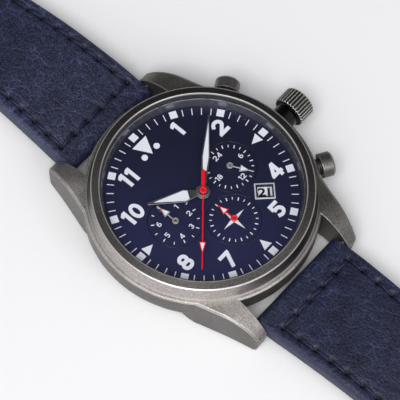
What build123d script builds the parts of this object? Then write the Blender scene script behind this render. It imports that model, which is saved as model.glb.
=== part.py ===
from build123d import *
import os
from math import sin, cos, radians, degrees, sqrt, atan2, hypot

# A pilot's wristwatch lying open on its back, in millimetres.
# Origin: centre of the flat case back. +X to the crown, +Y to 12 o'clock, +Z out of the dial.

overrun = 1.0               # how far cutting bodies run past a face
thin_overrun = 0.4
running_gap = 0.05          # radial clearance of every pivot, tube and slide
face_gap = 0.08             # end clearance between moving pieces

# The watch is built out from its movement: radii from the centre to the case's wall
movement_radius = 15.0
holder_wall = 2.55
holder_radius = movement_radius + holder_wall
holder_gap = 0.1            # from holder and dial to the case
cavity_radius = holder_radius + holder_gap          # bore that takes dial and movement
neck_wall = 0.95
neck_radius = cavity_radius + neck_wall             # neck inside the bezel
shoulder_width = 2.4        # flat shoulder that carries the bezel
case_radius = neck_radius + shoulder_width          # outer wall of the mid-case
case_bevel_width = 1.6
case_base_radius = case_radius - case_bevel_width   # underside's outer edge
thread_step = 0.45
thread_radius = cavity_radius + thread_step         # bore that takes the case back's rim

# Heights, from the case back up to the crystal
case_base_z = 1.0           # flat underside around the case back
back_floor_z = 1.3          # inner face of the case back
thread_height = 1.4
thread_top_z = case_base_z + thread_height
rotor_back_gap = 0.42
rotor_plate_z = back_floor_z + rotor_back_gap
rotor_plate_thickness = 0.3
rotor_bridge_gap = 0.48
bridge_bottom_z = rotor_plate_z + rotor_plate_thickness + rotor_bridge_gap
bridge_thickness = 0.65
bridge_top_z = bridge_bottom_z + bridge_thickness
train_room = 2.45           # between bridge and plate
plate_bottom_z = bridge_top_z + train_room
plate_thickness = 2.0
plate_top_z = plate_bottom_z + plate_thickness
layer_thickness = 0.18      # wheels under the dial
lower_layer_gap = 0.06
lower_layer_z = plate_top_z + lower_layer_gap
upper_layer_z = lower_layer_z + layer_thickness + face_gap
date_disc_gap = 0.1
date_disc_bottom_z = upper_layer_z + layer_thickness + date_disc_gap
date_disc_thickness = 0.22
dial_gap = 0.18             # from date disc to dial
dial_thickness = 0.4
dial_z = date_disc_bottom_z + date_disc_thickness + dial_gap + dial_thickness
shoulder_rise = 0.05
shoulder_z = dial_z + shoulder_rise
case_side_height = 4.05     # upright wall, from the bevel to the shoulder
case_side_z = shoulder_z - case_side_height
shoulder_chamfer = 0.25
rehaut_height = 1.9
neck_top_z = dial_z + rehaut_height
holder_thread_gap = 0.6
holder_bottom_z = thread_top_z + holder_thread_gap

# Lugs, the first one at 1 o'clock
lug_gap = 22.0              # between the inner faces
lug_root_width = 5.6        # widths of the lug, from its inner face
lug_mid_width = 3.75
lug_tip_width = 2.25
lug_root_x = lug_gap / 2 + lug_root_width
lug_root_y = sqrt(case_radius ** 2 - lug_root_x ** 2)   # where the outer edge leaves the case
lug_mid_x = lug_gap / 2 + lug_mid_width
lug_tip_x = lug_gap / 2 + lug_tip_width
lug_reach = 3.5             # tip beyond the case's wall
lug_tip_y = case_radius + lug_reach
lug_mid_length = 5.5        # from the tip back to the widths' middle
lug_mid_y = lug_tip_y - lug_mid_length
lug_nose_back = 0.45
lug_nose_y = lug_tip_y - lug_nose_back              # underside end of the tip
lug_crest_length = 6.9
lug_crest_y = lug_tip_y - lug_crest_length          # where the top starts to fall
lug_fall_length = 2.9
lug_fall_y = lug_tip_y - lug_fall_length            # a point on the falling top
lug_fall_drop = 1.35
lug_fall_z = shoulder_z - lug_fall_drop
lug_tip_top_z = 4.7
lug_tip_bottom_z = 0.5
lug_inside_length = 16.5
lug_inside_y = lug_tip_y - lug_inside_length        # how far the lug reaches into the case
lug_chamfer = 0.35

# Bezel, crystal and seals
bezel_foot_inset = 0.7
bezel_foot_radius = case_radius - bezel_foot_inset
bezel_slope = 0.8
bezel_rim_radius = bezel_foot_radius - bezel_slope
bezel_lip = 0.6             # how far the bezel covers the neck
bezel_bore_radius = neck_radius - bezel_lip
bezel_rim_rise = 1.15
bezel_rim_z = neck_top_z + bezel_rim_rise
crystal_edge_height = 1.52
crystal_edge_z = neck_top_z + crystal_edge_height
crystal_proud = 0.02        # crystal's edge over the bezel
bezel_crown_z = crystal_edge_z - crystal_proud
bezel_edge_chamfer = 0.14
crystal_gasket_wall = 0.22
crystal_dome_height = 0.35
crystal_bevel = 0.4
rehaut_foot_width = 0.35
rehaut_foot_radius = cavity_radius - rehaut_foot_width
rehaut_head_width = 0.15
rehaut_head_radius = cavity_radius - rehaut_head_width
back_seal_step = 0.45
back_seal_radius = thread_radius + back_seal_step
back_seal_half = 0.28

# Case back
back_flange = 0.8
back_radius = thread_radius + back_flange
back_rim_wall = 1.0
back_notch_count = 6
back_notch_inset = 1.7
back_notch_radius = back_radius - back_notch_inset  # where the opener's notches lie
back_notch_width = 2.6
back_notch_length = 1.5
back_notch_depth = 0.45
back_edge_chamfer = 0.35

# Dial
dial_radius = holder_radius
subdial_offset_share = 0.41026
subdial_offset = subdial_offset_share * dial_radius # from the watch's centre
subdial_rim_gap = 0.24      # left of the dial beside each sub-dial's rim
subdial_radius = subdial_offset / sqrt(2) - subdial_rim_gap
subdial_depth = 0.12
dial_centre_hole = 1.05
arbor_hole = 0.36           # for the sub-dial arbors

# Markers and printing
marker_height = 0.12
print_height = 0.05
minute_track_gap = 0.5      # from the rehaut to the ticks
minute_tick_length = 1.28
minute_tick_outer = rehaut_foot_radius - minute_track_gap
minute_tick_inner = minute_tick_outer - minute_tick_length
minute_tick_width = 0.15
hour_square_inset = 0.6
hour_square_radius = minute_tick_outer - hour_square_inset
hour_square_side = 1.35
noon_gap = 0.62
noon_base_y = minute_tick_inner - noon_gap
noon_height = 3.25
noon_apex_y = noon_base_y - noon_height
noon_half_width = 1.75
noon_dot_x = 1.57
noon_dot_rise = 0.5
noon_dot_y = noon_apex_y + noon_dot_rise
noon_dot_radius = 0.57
quarter_gap = 0.47
quarter_base_radius = minute_tick_inner - quarter_gap
quarter_height = 1.95
quarter_apex_radius = quarter_base_radius - quarter_height
quarter_half_width = 0.93
numeral_height_share = 0.1997       # of the radius inside the minute ticks, as are the rows
numeral_near_shares = (0.4156, 0.7474)
numeral_far_shares = (0.7603, 0.4111)
numeral_height = numeral_height_share * minute_tick_inner
numeral_stroke = 0.68
numeral_gap = 0.42          # between the two digits of 10 and 11
tick_rim_gap = 0.55         # sub-dial ticks
tick_length = 0.6
tick_short_length = 0.48
tick_outer = subdial_radius - tick_rim_gap
tick_inner = tick_outer - tick_length
tick_short_inner = tick_outer - tick_short_length
tick_width = 0.18
tick_short_width = 0.13
small_numeral_height = 1.0
small_numeral_stroke = 0.17
small_numeral_gap = 0.16
small_numeral_inset = 1.95
small_numeral_radius = subdial_radius - small_numeral_inset
star_arm = 2.6              # ornament in the lower sub-dial
star_waist = 0.52

# Date window
date_centre_share = 0.6188
date_centre_radius = date_centre_share * dial_radius
date_clock_angle = 135.0
date_frame_length = 3.63    # along the radius
date_frame_width = 3.02
date_frame_border = 0.48
date_frame_height = 0.16
date_opening_half = date_frame_length / 2 - date_frame_border
date_disc_inner_cover = 0.105       # disc hidden inside and outside the opening
date_disc_outer_cover = 0.555
date_disc_inner = date_centre_radius - date_opening_half - date_disc_inner_cover
date_disc_outer = date_centre_radius + date_opening_half + date_disc_outer_cover
date_teeth = 31
date_tooth_depth = 0.3

# Hands
hour_hand_rise = 0.72       # over the dial, and each hand over the one below it
hand_step = 0.4
hour_noon_gap = 1.75        # from the hour hand's tip to the noon triangle
hour_length = noon_apex_y - hour_noon_gap
hour_hub_radius = 1.3
hour_neck_half = 0.55
hour_belly_radius = 3.3     # distance of the widest place from the centre
hour_belly_half = 1.22
hour_hand_z = dial_z + hour_hand_rise
minute_tick_gap = 0.72      # from the minute hand's tip to the ticks
minute_length = minute_tick_inner - minute_tick_gap
minute_hub_radius = 1.12
minute_neck_half = 0.42
minute_belly_radius = 6.6
minute_belly_half = 0.72
minute_hand_z = hour_hand_z + hand_step
hand_thickness = 0.2
hand_frame_wall = 0.2       # metal left around the pale inlay
hour_tip_half = 0.19
minute_tip_half = 0.11
hour_inlay_start = 2.6
hour_inlay_back = 1.0       # from the tip back to the inlay's end
hour_inlay_end = hour_length - hour_inlay_back
minute_inlay_start = 3.9
minute_inlay_back = 1.1
minute_inlay_end = minute_length - minute_inlay_back
inlay_sink = 0.04
seconds_tick_gap = 0.47
seconds_length = minute_tick_inner - seconds_tick_gap
seconds_half = 0.11
seconds_hub_radius = 0.66
seconds_tail = 4.05
seconds_tail_half = 0.3
seconds_arrow_back = 2.75   # from the tip back to the arrow's apex
seconds_arrow_length = 2.4
seconds_arrow_apex = seconds_length - seconds_arrow_back
seconds_arrow_base = seconds_arrow_apex - seconds_arrow_length
seconds_arrow_half = 0.6
seconds_hand_z = minute_hand_z + hand_step
seconds_thickness = 0.14
seconds_boss = 0.12         # height of the hub above the hand
small_hand_rise = 0.25
small_hand_z = dial_z + small_hand_rise
small_hand_thickness = 0.15
small_hand_half = 0.1
small_hub_radius = 0.6
small_arrow_half = 0.7
small_arrow_wall = 0.16
weekday_rim_gap = 0.6       # from each small hand's tip to its sub-dial's rim
day_rim_gap = 0.5
zone_rim_gap = 1.05
weekday_length = subdial_radius - weekday_rim_gap
weekday_arrow_base = 1.8
weekday_arrow_apex = 3.6
day_length = subdial_radius - day_rim_gap
zone_length = subdial_radius - zone_rim_gap
zone_arrow_base = 1.8
zone_arrow_apex = 3.5

# Time shown, in degrees clockwise from 12
hour_angle = 304.0
minute_angle = 52.9
seconds_angle = 229.4
weekday_angle = 0.0
day_angle = 152.6
zone_angle = 0.0

# Movement
ledge_gap = 0.11            # from the date driver's teeth to the ledge under the date disc
ledge_wall_gap = 0.15       # from the date disc to the plate's rim
ledge_drop = 0.03           # gap under the date disc
bridge_inset = 2.6
bridge_radius = movement_radius - bridge_inset
pivot_radius = 0.15
arbor_radius = 0.25         # seconds arbor
centre_tube_bore = 0.30
centre_tube_radius = 0.45
cannon_radius = 0.62
hour_tube_radius = 0.95
wheel_thickness = 0.2
pinion_height = 0.34
spoke_width = 0.45
spoke_count = 5
rim_wall = 0.4

# Levels of the going train, each the lower face of a wheel
train_step = 0.34
fourth_wheel_gap = 0.17
fourth_wheel_z = bridge_top_z + fourth_wheel_gap
third_wheel_z = fourth_wheel_z + train_step
centre_wheel_z = third_wheel_z + train_step
barrel_gap = 0.15           # under and over the barrel
barrel_bottom_z = centre_wheel_z + wheel_thickness + barrel_gap
barrel_top_z = plate_bottom_z - barrel_gap
barrel_gear_rise = 0.5
barrel_gear_z = barrel_bottom_z + barrel_gear_rise
escape_drop = 0.9           # escape wheel and fork below the plate
escape_wheel_z = plate_bottom_z - escape_drop
roller_z = escape_wheel_z + wheel_thickness + face_gap
pallet_bridge_thickness = 0.3
pallet_bridge_gap = 0.1
pallet_bridge_z = escape_wheel_z - pallet_bridge_gap - pallet_bridge_thickness
balance_bridge_gap = 0.13
balance_rim_height = 0.45
balance_rim_z = pallet_bridge_z - balance_bridge_gap - balance_rim_height
hairspring_height = 0.2
hairspring_gap = 0.2
hairspring_z = balance_rim_z - hairspring_gap - hairspring_height

# Tooth counts and modules
movement_modules = 150.0    # movement's radius in modules of the going train
barrel_module_share = 1.2
train_module = movement_radius / movement_modules
barrel_module = barrel_module_share * train_module
centre_teeth = 80
third_pinion_teeth = 10
third_teeth = 75
fourth_pinion_teeth = 10
fourth_teeth = 80
escape_pinion_teeth = 8
escape_teeth = 20
centre_pinion_teeth = 12
barrel_teeth = 84
cannon_teeth = 12
minute_wheel_teeth = 36
minute_pinion_teeth = 10
hour_wheel_teeth = 40
idler_teeth = 44
idler_pinion_teeth = 22
zone_teeth = 40
day_teeth = 40
driver_teeth = 80
weekday_teeth = 14

# Directions of the movement's axes, in degrees from +X
third_direction = 160.0
escape_direction = 240.0
barrel_direction = 60.0
minute_wheel_direction = 70.0
driver_direction = 135.0

# Driver of the date and the weekday
star_radius = 1.9
finger_width = 0.35

# Escapement, laid out in modules of the going train
escape_radius_modules = 22.0
escape_root_modules = 17.5
pallet_distance_modules = 29.0      # escape wheel's axis to fork's axis
balance_distance_modules = 62.0     # escape wheel's axis to balance's axis
balance_radius_modules = 42.0
escape_radius = escape_radius_modules * train_module
escape_root = escape_root_modules * train_module
pallet_distance = pallet_distance_modules * train_module
balance_distance = balance_distance_modules * train_module
balance_radius = balance_radius_modules * train_module
balance_direction = 272.0
stone_angle = 38.0
stone_side = 0.22
fork_arm_width = 0.32
fork_mouth = 0.42
pallet_post_reach = 2.4      # from the fork's axis to each post of its bridge
pallet_bridge_half = 0.5
balance_rim = 0.55
roller_radius = 0.75
roller_pin_radius = 0.09
roller_pin_inset = 0.2
roller_pin_offset = roller_radius - roller_pin_inset
fork_reach = balance_distance - pallet_distance - roller_radius
hairspring_inner = 0.62
hairspring_pitch = 0.26
hairspring_turns = 7
hairspring_width = 0.09
mainspring_inner = 0.95
mainspring_pitch = 0.42
mainspring_turns = 8
mainspring_width = 0.16
barrel_wall = 0.22
barrel_arbor_radius = 0.6

# Bridges, screws and rotor
post_radius = 0.95
post_inset = 1.1
post_ring = bridge_radius - post_inset              # where the bridge's posts stand
post_angles = (20.0, 110.0, 200.0, 305.0)
cock_half_width = 1.15
cock_foot_direction = 227.0
cock_gap = 0.3
screw_head_radius = 0.72
screw_head_height = 0.28
screw_slot = 0.2
screw_shank_radius = 0.4
rotor_gap = 0.4             # from the rotor to the holder's bore
rotor_rim_wall = 1.6
rotor_rim_height = 1.58
rotor_radius = movement_radius - rotor_gap
rotor_rim_inner = rotor_radius - rotor_rim_wall
cock_rotor_gap = 0.15       # from the cock's foot to the rotor's rim
cock_foot_ring = rotor_rim_inner - cock_rotor_gap - cock_half_width
rotor_rim_top_z = rotor_plate_z + rotor_rim_height
rotor_hub_radius = 2.6
rotor_post_radius = 1.3
rotor_screw_radius = 1.75
rotor_angle = 235.0

# Crown and stem
stem_rise = 0.7             # stem's axis over the plate's underside
crown_axis_z = plate_bottom_z + stem_rise
collar_gap = 0.06           # from the case to the collar
collar_length = 1.84
collar_start_x = case_radius + collar_gap
collar_end_x = collar_start_x + collar_length
collar_radius = 2.3
crown_collar_gap = 0.5
crown_inner_x = collar_end_x + crown_collar_gap
crown_radius = 3.1
crown_wall = 1.0
crown_bore_radius = crown_radius - crown_wall
crown_floor = 0.8           # wall at the crown's outer end
crown_bevel = 0.3
crown_groove_count = 30
crown_groove_radius = 0.27
crown_travel = 1.6
stem_radius = 0.5
stem_length_inside = 8.4
stem_inner_x = movement_radius - stem_length_inside
crown_tube_radius = 1.5
crown_tube_bore_gap = 0.12
crown_tube_bore = stem_radius + crown_tube_bore_gap
crown_end_gap = 0.2         # beyond the gasket's last place, and from the tube to the floor
crown_tube_root_x = neck_radius
crown_seal_offset = 0.3     # from the crown's skirt to its gasket
crown_seal_length = 0.4

# Pushers
pusher_clock_angle = 60.0   # the upper one; the lower one mirrors it
pusher_axis_z = crown_axis_z
pusher_cap_radius = 2.25
pusher_cap_length = 2.3
pusher_cap_gap = 0.3        # left under the cap when it is pressed
pusher_cap_chamfer = 0.35
pusher_cap_wall = 0.6
pusher_stem_radius = 0.75
pusher_stem_gap = 0.2       # left to the movement when it is pressed
pusher_travel = 0.7
pusher_tube_wall = 0.45
pusher_tube_radius = pusher_stem_radius + running_gap + pusher_tube_wall
pusher_tube_proud = 0.2
pusher_tube_step = 0.65
pusher_tube_start = cavity_radius + pusher_tube_step
pusher_recess_radius = pusher_cap_radius - pusher_cap_wall
pusher_spring_room = 0.5    # length of the closed spring
pusher_spring_gap = 0.15
pusher_spring_radius = pusher_recess_radius - pusher_spring_gap
pusher_clip_width = 0.35
pusher_clip_radius = pusher_stem_radius + pusher_clip_width
pusher_clip_thickness = 0.2
pusher_clip_gap = 0.05
pusher_pocket_gap = 0.25
pusher_pocket_radius = pusher_clip_radius + pusher_pocket_gap

# Spring bars
bar_back = 1.5              # from the lug's tip back to the bar
bar_y = lug_tip_y - bar_back
bar_z = 4.25
bar_sleeve_radius = 0.9
bar_sleeve_back = 1.7       # from the lug to the sleeve's end
bar_sleeve_half = lug_gap / 2 - bar_sleeve_back
bar_tip_radius = 0.55
bar_tip_depth = 1.0         # how far a tip enters its lug
bar_flange_radius = 0.8
bar_flange_length = 0.2
bar_flange_gap = 0.35       # from the flange to the lug
bar_tip_travel = 1.1
bar_tip_hold = 0.9          # length of the tip inside the sleeve
bar_tip_inner_x = bar_sleeve_half - bar_tip_hold
bar_hole_extra = 0.2

# Keepers
keeper_length = 4.5
keeper_wall = 1.1
keeper_side_gap = 0.25
keeper_under_gap = 0.28
keeper_floor_gap = 0.02
keeper_room = 2.4           # space over the strap for the other half
keeper_gap = 0.5            # left between the keepers when they are pushed together
free_keeper_travel = 6.0

# Strap. The places along it are shares of the short half's length from its spring bar.
strap_short_length = 75.0
strap_long_length = 118.0
strap_taper_shares = (0.04, 0.62667)
strap_rise_share = 0.09333
strap_crest_share = 0.24
strap_slope_share = 0.4
strap_knee_place_share = 0.53333
strap_flat_share = 0.64
strap_fit = 0.2             # from the strap's edge to the lug
strap_end_radius = 1.74     # rounded end around the spring bar
strap_bar_gap = 0.05
strap_tail_width = 18.0
strap_taper_start_y = bar_y + strap_taper_shares[0] * strap_short_length
strap_taper_end_y = bar_y + strap_taper_shares[1] * strap_short_length
strap_rise_y = bar_y + strap_rise_share * strap_short_length
strap_rise_z = 5.0
strap_crest_y = bar_y + strap_crest_share * strap_short_length
strap_crest_z = 5.35
strap_slope_y = bar_y + strap_slope_share * strap_short_length
strap_slope_z = 4.1
strap_knee_y = bar_y + strap_knee_place_share * strap_short_length
strap_knee_share = 0.55     # height of the knee over a straight line's start
strap_flat_y = bar_y + strap_flat_share * strap_short_length
strap_pad = 1.88            # half thickness at the padded part
strap_slope_half = 1.7
strap_knee_half = 1.45
short_flat_half = 1.3
short_under_gap = keeper_wall + keeper_under_gap + keeper_floor_gap
short_end_y = bar_y + strap_short_length            # buckle bar
long_flat_half = 1.25
long_end_y = bar_y + strap_long_length
long_point_length = 11.0
long_point_half = 3.2
tongue_hole_radius = 1.0
tongue_hole_count = 7
tongue_hole_pitch = 6.5
tongue_hole_end_gap = 49.0  # from the strap's end to the first hole
tongue_hole_first_y = long_end_y - tongue_hole_end_gap
tongue_slot_half = 1.35
tongue_slot_length = 3.6
fixed_keeper_back = 8.5     # from the buckle bar to the fixed keeper
fixed_keeper_y = short_end_y - fixed_keeper_back

# Buckle
buckle_bar_radius = 0.75
buckle_tip_radius = 0.5
buckle_side_gap = 0.35      # strap edge to buckle leg
buckle_leg_width = 2.1
buckle_height = 3.0
buckle_length = 12.6        # bar to the outer face of the front
buckle_front_width = 2.6
buckle_front_drop = 0.8     # front's top below the legs' top
buckle_heel = 1.5           # legs behind the bar
buckle_tip_depth = 1.3
tongue_half = 0.8
tongue_ring_wall = 0.7
tongue_ring_radius = buckle_bar_radius + strap_bar_gap + tongue_ring_wall
tongue_thickness = 0.85
tongue_overhang = 0.9
tongue_lift = 0.06


# Small shapes that many pieces share

def disc(radius, low_z, high_z, x=0.0, y=0.0):
    round_bar = Cylinder(radius, high_z - low_z, align=(Align.CENTER, Align.CENTER, Align.MIN))
    return Pos(x, y, low_z) * round_bar


def ring(outer, inner, low_z, high_z, x=0.0, y=0.0):
    hole = disc(inner, low_z - overrun, high_z + overrun, x, y)
    return disc(outer, low_z, high_z, x, y) - hole


def block(low_x, high_x, low_y, high_y, low_z, high_z):
    shape = Box(high_x - low_x, high_y - low_y, high_z - low_z,
                align=(Align.MIN, Align.MIN, Align.MIN))
    return Pos(low_x, low_y, low_z) * shape


def rod_x(radius, start_x, end_x, y=0.0, z=0.0):
    shape = Cylinder(radius, end_x - start_x, align=(Align.CENTER, Align.CENTER, Align.MIN))
    return Pos(start_x, y, z) * Rot(0, 90, 0) * shape


def turned(points):
    """A body of revolution about Z from (radius, z) points."""
    outline = Plane.XZ * make_face(Polyline(*points, close=True))
    return revolve(outline, Axis.Z)


def flat(points, low_z, high_z):
    """A plate from an outline seen from above."""
    outline = make_face(Polyline(*points, close=True))
    return extrude(Pos(0, 0, low_z) * outline, high_z - low_z)


def polar(radius, angle):
    """A point at an angle in degrees from +X."""
    return (radius * cos(radians(angle)), radius * sin(radians(angle)))


def clock(radius, angle):
    """A point at an angle in degrees clockwise from 12 o'clock."""
    return polar(radius, 90 - angle)


def turned_clock(shape, angle, centre=(0.0, 0.0)):
    """Turns a shape drawn pointing to 12 to a clock angle and moves it to a centre."""
    return Pos(centre[0], centre[1], 0) * Rot(0, 0, -angle) * shape


def mirrored_y(shape):
    return mirror(shape, Plane.XZ)


def mirrored_x(shape):
    return mirror(shape, Plane.YZ)


def spiral(inner, pitch, turns, width, low_z, height):
    """A flat coiled spring as one closed band."""
    steps_per_turn = 8
    count = turns * steps_per_turn
    inner_side = []
    outer_side = []
    for step in range(count + 1):
        angle = 360 * step / steps_per_turn
        radius = inner + pitch * step / steps_per_turn
        inner_side.append(polar(radius - width / 2, angle))
        outer_side.append(polar(radius + width / 2, angle))
    near = Spline(*inner_side)
    far = Spline(*outer_side)
    start = Line(inner_side[0], outer_side[0])
    end = Line(inner_side[-1], outer_side[-1])
    return extrude(Pos(0, 0, low_z) * make_face([near, end, far, start]), height)


# Gears

tooth_root_share = 0.29     # half widths as shares of the tooth pitch
tooth_tip_share = 0.1
tooth_root_module_share = 1.2
tooth_tip_module_share = 0.95


def pitch_radius(teeth, module):
    return teeth * module / 2


def gear_outline(teeth, module, phase):
    root = pitch_radius(teeth, module) - tooth_root_module_share * module
    tip = pitch_radius(teeth, module) + tooth_tip_module_share * module
    pitch = 360 / teeth
    points = []
    for tooth in range(teeth):
        middle = phase + tooth * pitch
        points.append(polar(root, middle - tooth_root_share * pitch))
        points.append(polar(tip, middle - tooth_tip_share * pitch))
        points.append(polar(tip, middle + tooth_tip_share * pitch))
        points.append(polar(root, middle + tooth_root_share * pitch))
    return make_face(Polyline(*points, close=True))


def meshed_phase(direction, phase, teeth, other_teeth):
    """The phase of a gear whose gap faces a tooth of the gear that it meshes with."""
    lead = phase - direction
    return direction + 180 + 180 / other_teeth - lead * teeth / other_teeth


def pinion(teeth, module, low_z, height, bore, phase, centre=(0.0, 0.0)):
    outline = gear_outline(teeth, module, phase)
    if bore > 0:
        outline -= Circle(bore)
    return Pos(centre[0], centre[1], low_z) * extrude(outline, height)


def wheel(teeth, module, low_z, height, hub, bore, phase, centre=(0.0, 0.0)):
    """A toothed wheel with crossed-out spokes."""
    outline = gear_outline(teeth, module, phase)
    inner_rim = pitch_radius(teeth, module) - tooth_root_module_share * module - rim_wall
    window = Circle(inner_rim) - Circle(hub)
    for spoke in range(spoke_count):
        arm = Pos(inner_rim / 2, 0) * Rectangle(inner_rim, spoke_width)
        window -= Rot(0, 0, 360 * spoke / spoke_count) * arm
    outline -= window
    if bore > 0:
        outline -= Circle(bore)
    return Pos(centre[0], centre[1], low_z) * extrude(outline, height)


# Numerals drawn as strokes. A stroke is a list of points in shares of the numeral's
# width and height, from its lower left corner to its upper right one.

def arc_shares(centre_x, centre_y, half_x, half_y, start, end):
    steps = 9
    points = []
    for step in range(steps + 1):
        angle = radians(start + (end - start) * step / steps)
        points.append((centre_x + half_x * cos(angle), centre_y + half_y * sin(angle)))
    return points


digit_width_shares = {"0": 0.73, "1": 0.39, "2": 0.765, "3": 0.72, "4": 0.8,
                      "5": 0.74, "6": 0.74, "7": 0.75, "8": 0.74, "9": 0.74}
digit_stroke_shares = {
    "1": [[(1.0, 0.0), (1.0, 1.0)], [(-0.1, 0.9), (0.9, 1.04)]],
    "2": [arc_shares(0.5, 0.7, 0.5, 0.3, 158, -30) + [(0.0, 0.0), (1.0, 0.0)]],
    "3": [arc_shares(0.5, 0.74, 0.44, 0.26, 145, -80), arc_shares(0.5, 0.25, 0.5, 0.25, 80, -145)],
    "4": [[(0.82, 0.0), (0.82, 1.0)], [(0.74, 1.0), (0.0, 0.22), (1.0, 0.22)]],
    "5": [[(0.95, 1.0), (0.14, 1.0), (0.1, 0.72)], arc_shares(0.5, 0.3, 0.5, 0.3, 116, -126)],
    "7": [[(0.0, 1.0), (1.0, 1.0), (0.34, 0.0)]],
}
digit_ring_shares = {
    "0": [(0.5, 0.5, 0.5, 0.5)],
    "6": [(0.5, 0.3, 0.5, 0.3)],
    "8": [(0.5, 0.74, 0.43, 0.26), (0.5, 0.26, 0.5, 0.26)],
    "9": [(0.5, 0.7, 0.5, 0.3)],
}
digit_tail_shares = {
    "6": [[(0.0, 0.3)] + arc_shares(0.62, 0.42, 0.62, 0.58, 165, 88)],
    "9": [[(1.0, 0.7)] + arc_shares(0.38, 0.58, 0.62, 0.58, -15, -92)],
}
digit_stroke_shares.update(digit_tail_shares)


def square_to(first, second):
    """The unit vector at the left of the way from one point to another."""
    length = hypot(second[0] - first[0], second[1] - first[1])
    return (first[1] - second[1]) / length, (second[0] - first[0]) / length


def ribbon(points, width):
    """A band of one width along a line of points, with mitred corners and longer by half its
    width at both ends."""
    last = len(points) - 1
    points = list(points)
    for end, inner in ((0, 1), (last, last - 1)):
        side_x, side_y = square_to(points[inner], points[end])
        points[end] = (points[end][0] + side_y * width / 2, points[end][1] - side_x * width / 2)
    left = []
    right = []
    for index, (x, y) in enumerate(points):
        start = max(index - 1, 0)
        end = min(index, last - 1)
        before_x, before_y = square_to(points[start], points[start + 1])
        after_x, after_y = square_to(points[end], points[end + 1])
        reach = 1 + before_x * after_x + before_y * after_y
        side_x = (before_x + after_x) / reach * width / 2
        side_y = (before_y + after_y) / reach * width / 2
        left.append((x + side_x, y + side_y))
        right.append((x - side_x, y - side_y))
    return make_face(Polyline(*(left + right[::-1]), close=True))


def digit_size(digit, height, stroke):
    """Width and height of a digit's centre lines."""
    return (digit_width_shares[digit] * height - stroke, height - stroke)


def digit_face(digit, height, stroke):
    """One digit, its lower left corner at the origin."""
    wide, tall = digit_size(digit, height, stroke)
    half = stroke / 2
    face = Sketch()
    for ring_share in digit_ring_shares.get(digit, []):
        centre_x, centre_y, half_x, half_y = ring_share
        outer = Ellipse(half_x * wide + half, half_y * tall + half)
        inner = Ellipse(half_x * wide - half, half_y * tall - half)
        face += Pos(half + centre_x * wide, half + centre_y * tall) * (outer - inner)
    for line in digit_stroke_shares.get(digit, []):
        points = [(half + x * wide, half + y * tall) for x, y in line]
        face += ribbon(points, stroke)
    box = Pos(half + wide / 2, half + tall / 2) * Rectangle(wide + stroke, height)
    return face & box


def number_face(text, height, stroke, gap):
    """A number centred on the origin."""
    widths = [digit_width_shares[digit] * height for digit in text]
    total = sum(widths) + gap * (len(text) - 1)
    face = Sketch()
    start = -total / 2
    for digit, width in zip(text, widths):
        face += Pos(start, -height / 2) * digit_face(digit, height, stroke)
        start += width + gap
    return face


def raised(face, low_z, height):
    return extrude(Pos(0, 0, low_z) * face, height)


# Case, bezel, crystal and back

def lug():
    """The lug at 1 o'clock, before the others are mirrored from it."""
    plan = [
        Line((lug_gap / 2, lug_inside_y), (lug_gap / 2, lug_tip_y)),
        Line((lug_gap / 2, lug_tip_y), (lug_tip_x, lug_tip_y)),
        ThreePointArc((lug_tip_x, lug_tip_y), (lug_mid_x, lug_mid_y), (lug_root_x, lug_root_y)),
        Line((lug_root_x, lug_root_y), (lug_root_x, lug_inside_y)),
        Line((lug_root_x, lug_inside_y), (lug_gap / 2, lug_inside_y)),
    ]
    seen_above = extrude(make_face(plan), shoulder_z)
    side = [
        Line((lug_inside_y, case_base_z), (lug_inside_y, shoulder_z)),
        Line((lug_inside_y, shoulder_z), (lug_crest_y, shoulder_z)),
        ThreePointArc((lug_crest_y, shoulder_z), (lug_fall_y, lug_fall_z), (lug_tip_y, lug_tip_top_z)),
        Line((lug_tip_y, lug_tip_top_z), (lug_nose_y, lug_tip_bottom_z)),
        Line((lug_nose_y, lug_tip_bottom_z), (case_base_radius, case_base_z)),
        Line((case_base_radius, case_base_z), (lug_inside_y, case_base_z)),
    ]
    seen_side = extrude(Plane.YZ * make_face(side), case_radius)
    shape = seen_above & seen_side
    outer_faces = [face for face in shape.faces()
                   if face.geom_type == GeomType.CYLINDER and abs(face.normal_at().Z) < 0.1]
    edges = []
    for edge in outer_faces[0].edges():
        middle = edge.position_at(0.5)
        if middle.Y > lug_root_y and abs(middle.Y - lug_root_y) > lug_chamfer:
            edges.append(edge)
    return chamfer(edges, lug_chamfer)


def pusher_place(clock_angle):
    """Turns a shape drawn along +X to a pusher's axis."""
    return Rot(0, 0, 90 - clock_angle) * Pos(0, 0, pusher_axis_z)


def pusher_angles():
    return (pusher_clock_angle, 180 - pusher_clock_angle)


def pusher_cap_start():
    """Distance of the cap's inner face from the watch's axis."""
    return case_radius + pusher_travel + pusher_cap_gap


def pusher_cap_end():
    return pusher_cap_start() + pusher_cap_length


def pusher_tube_end():
    return case_radius + pusher_tube_proud


def pusher_recess_depth():
    return pusher_travel + pusher_spring_room


def pusher_recess_end():
    return pusher_cap_start() + pusher_recess_depth()


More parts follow.
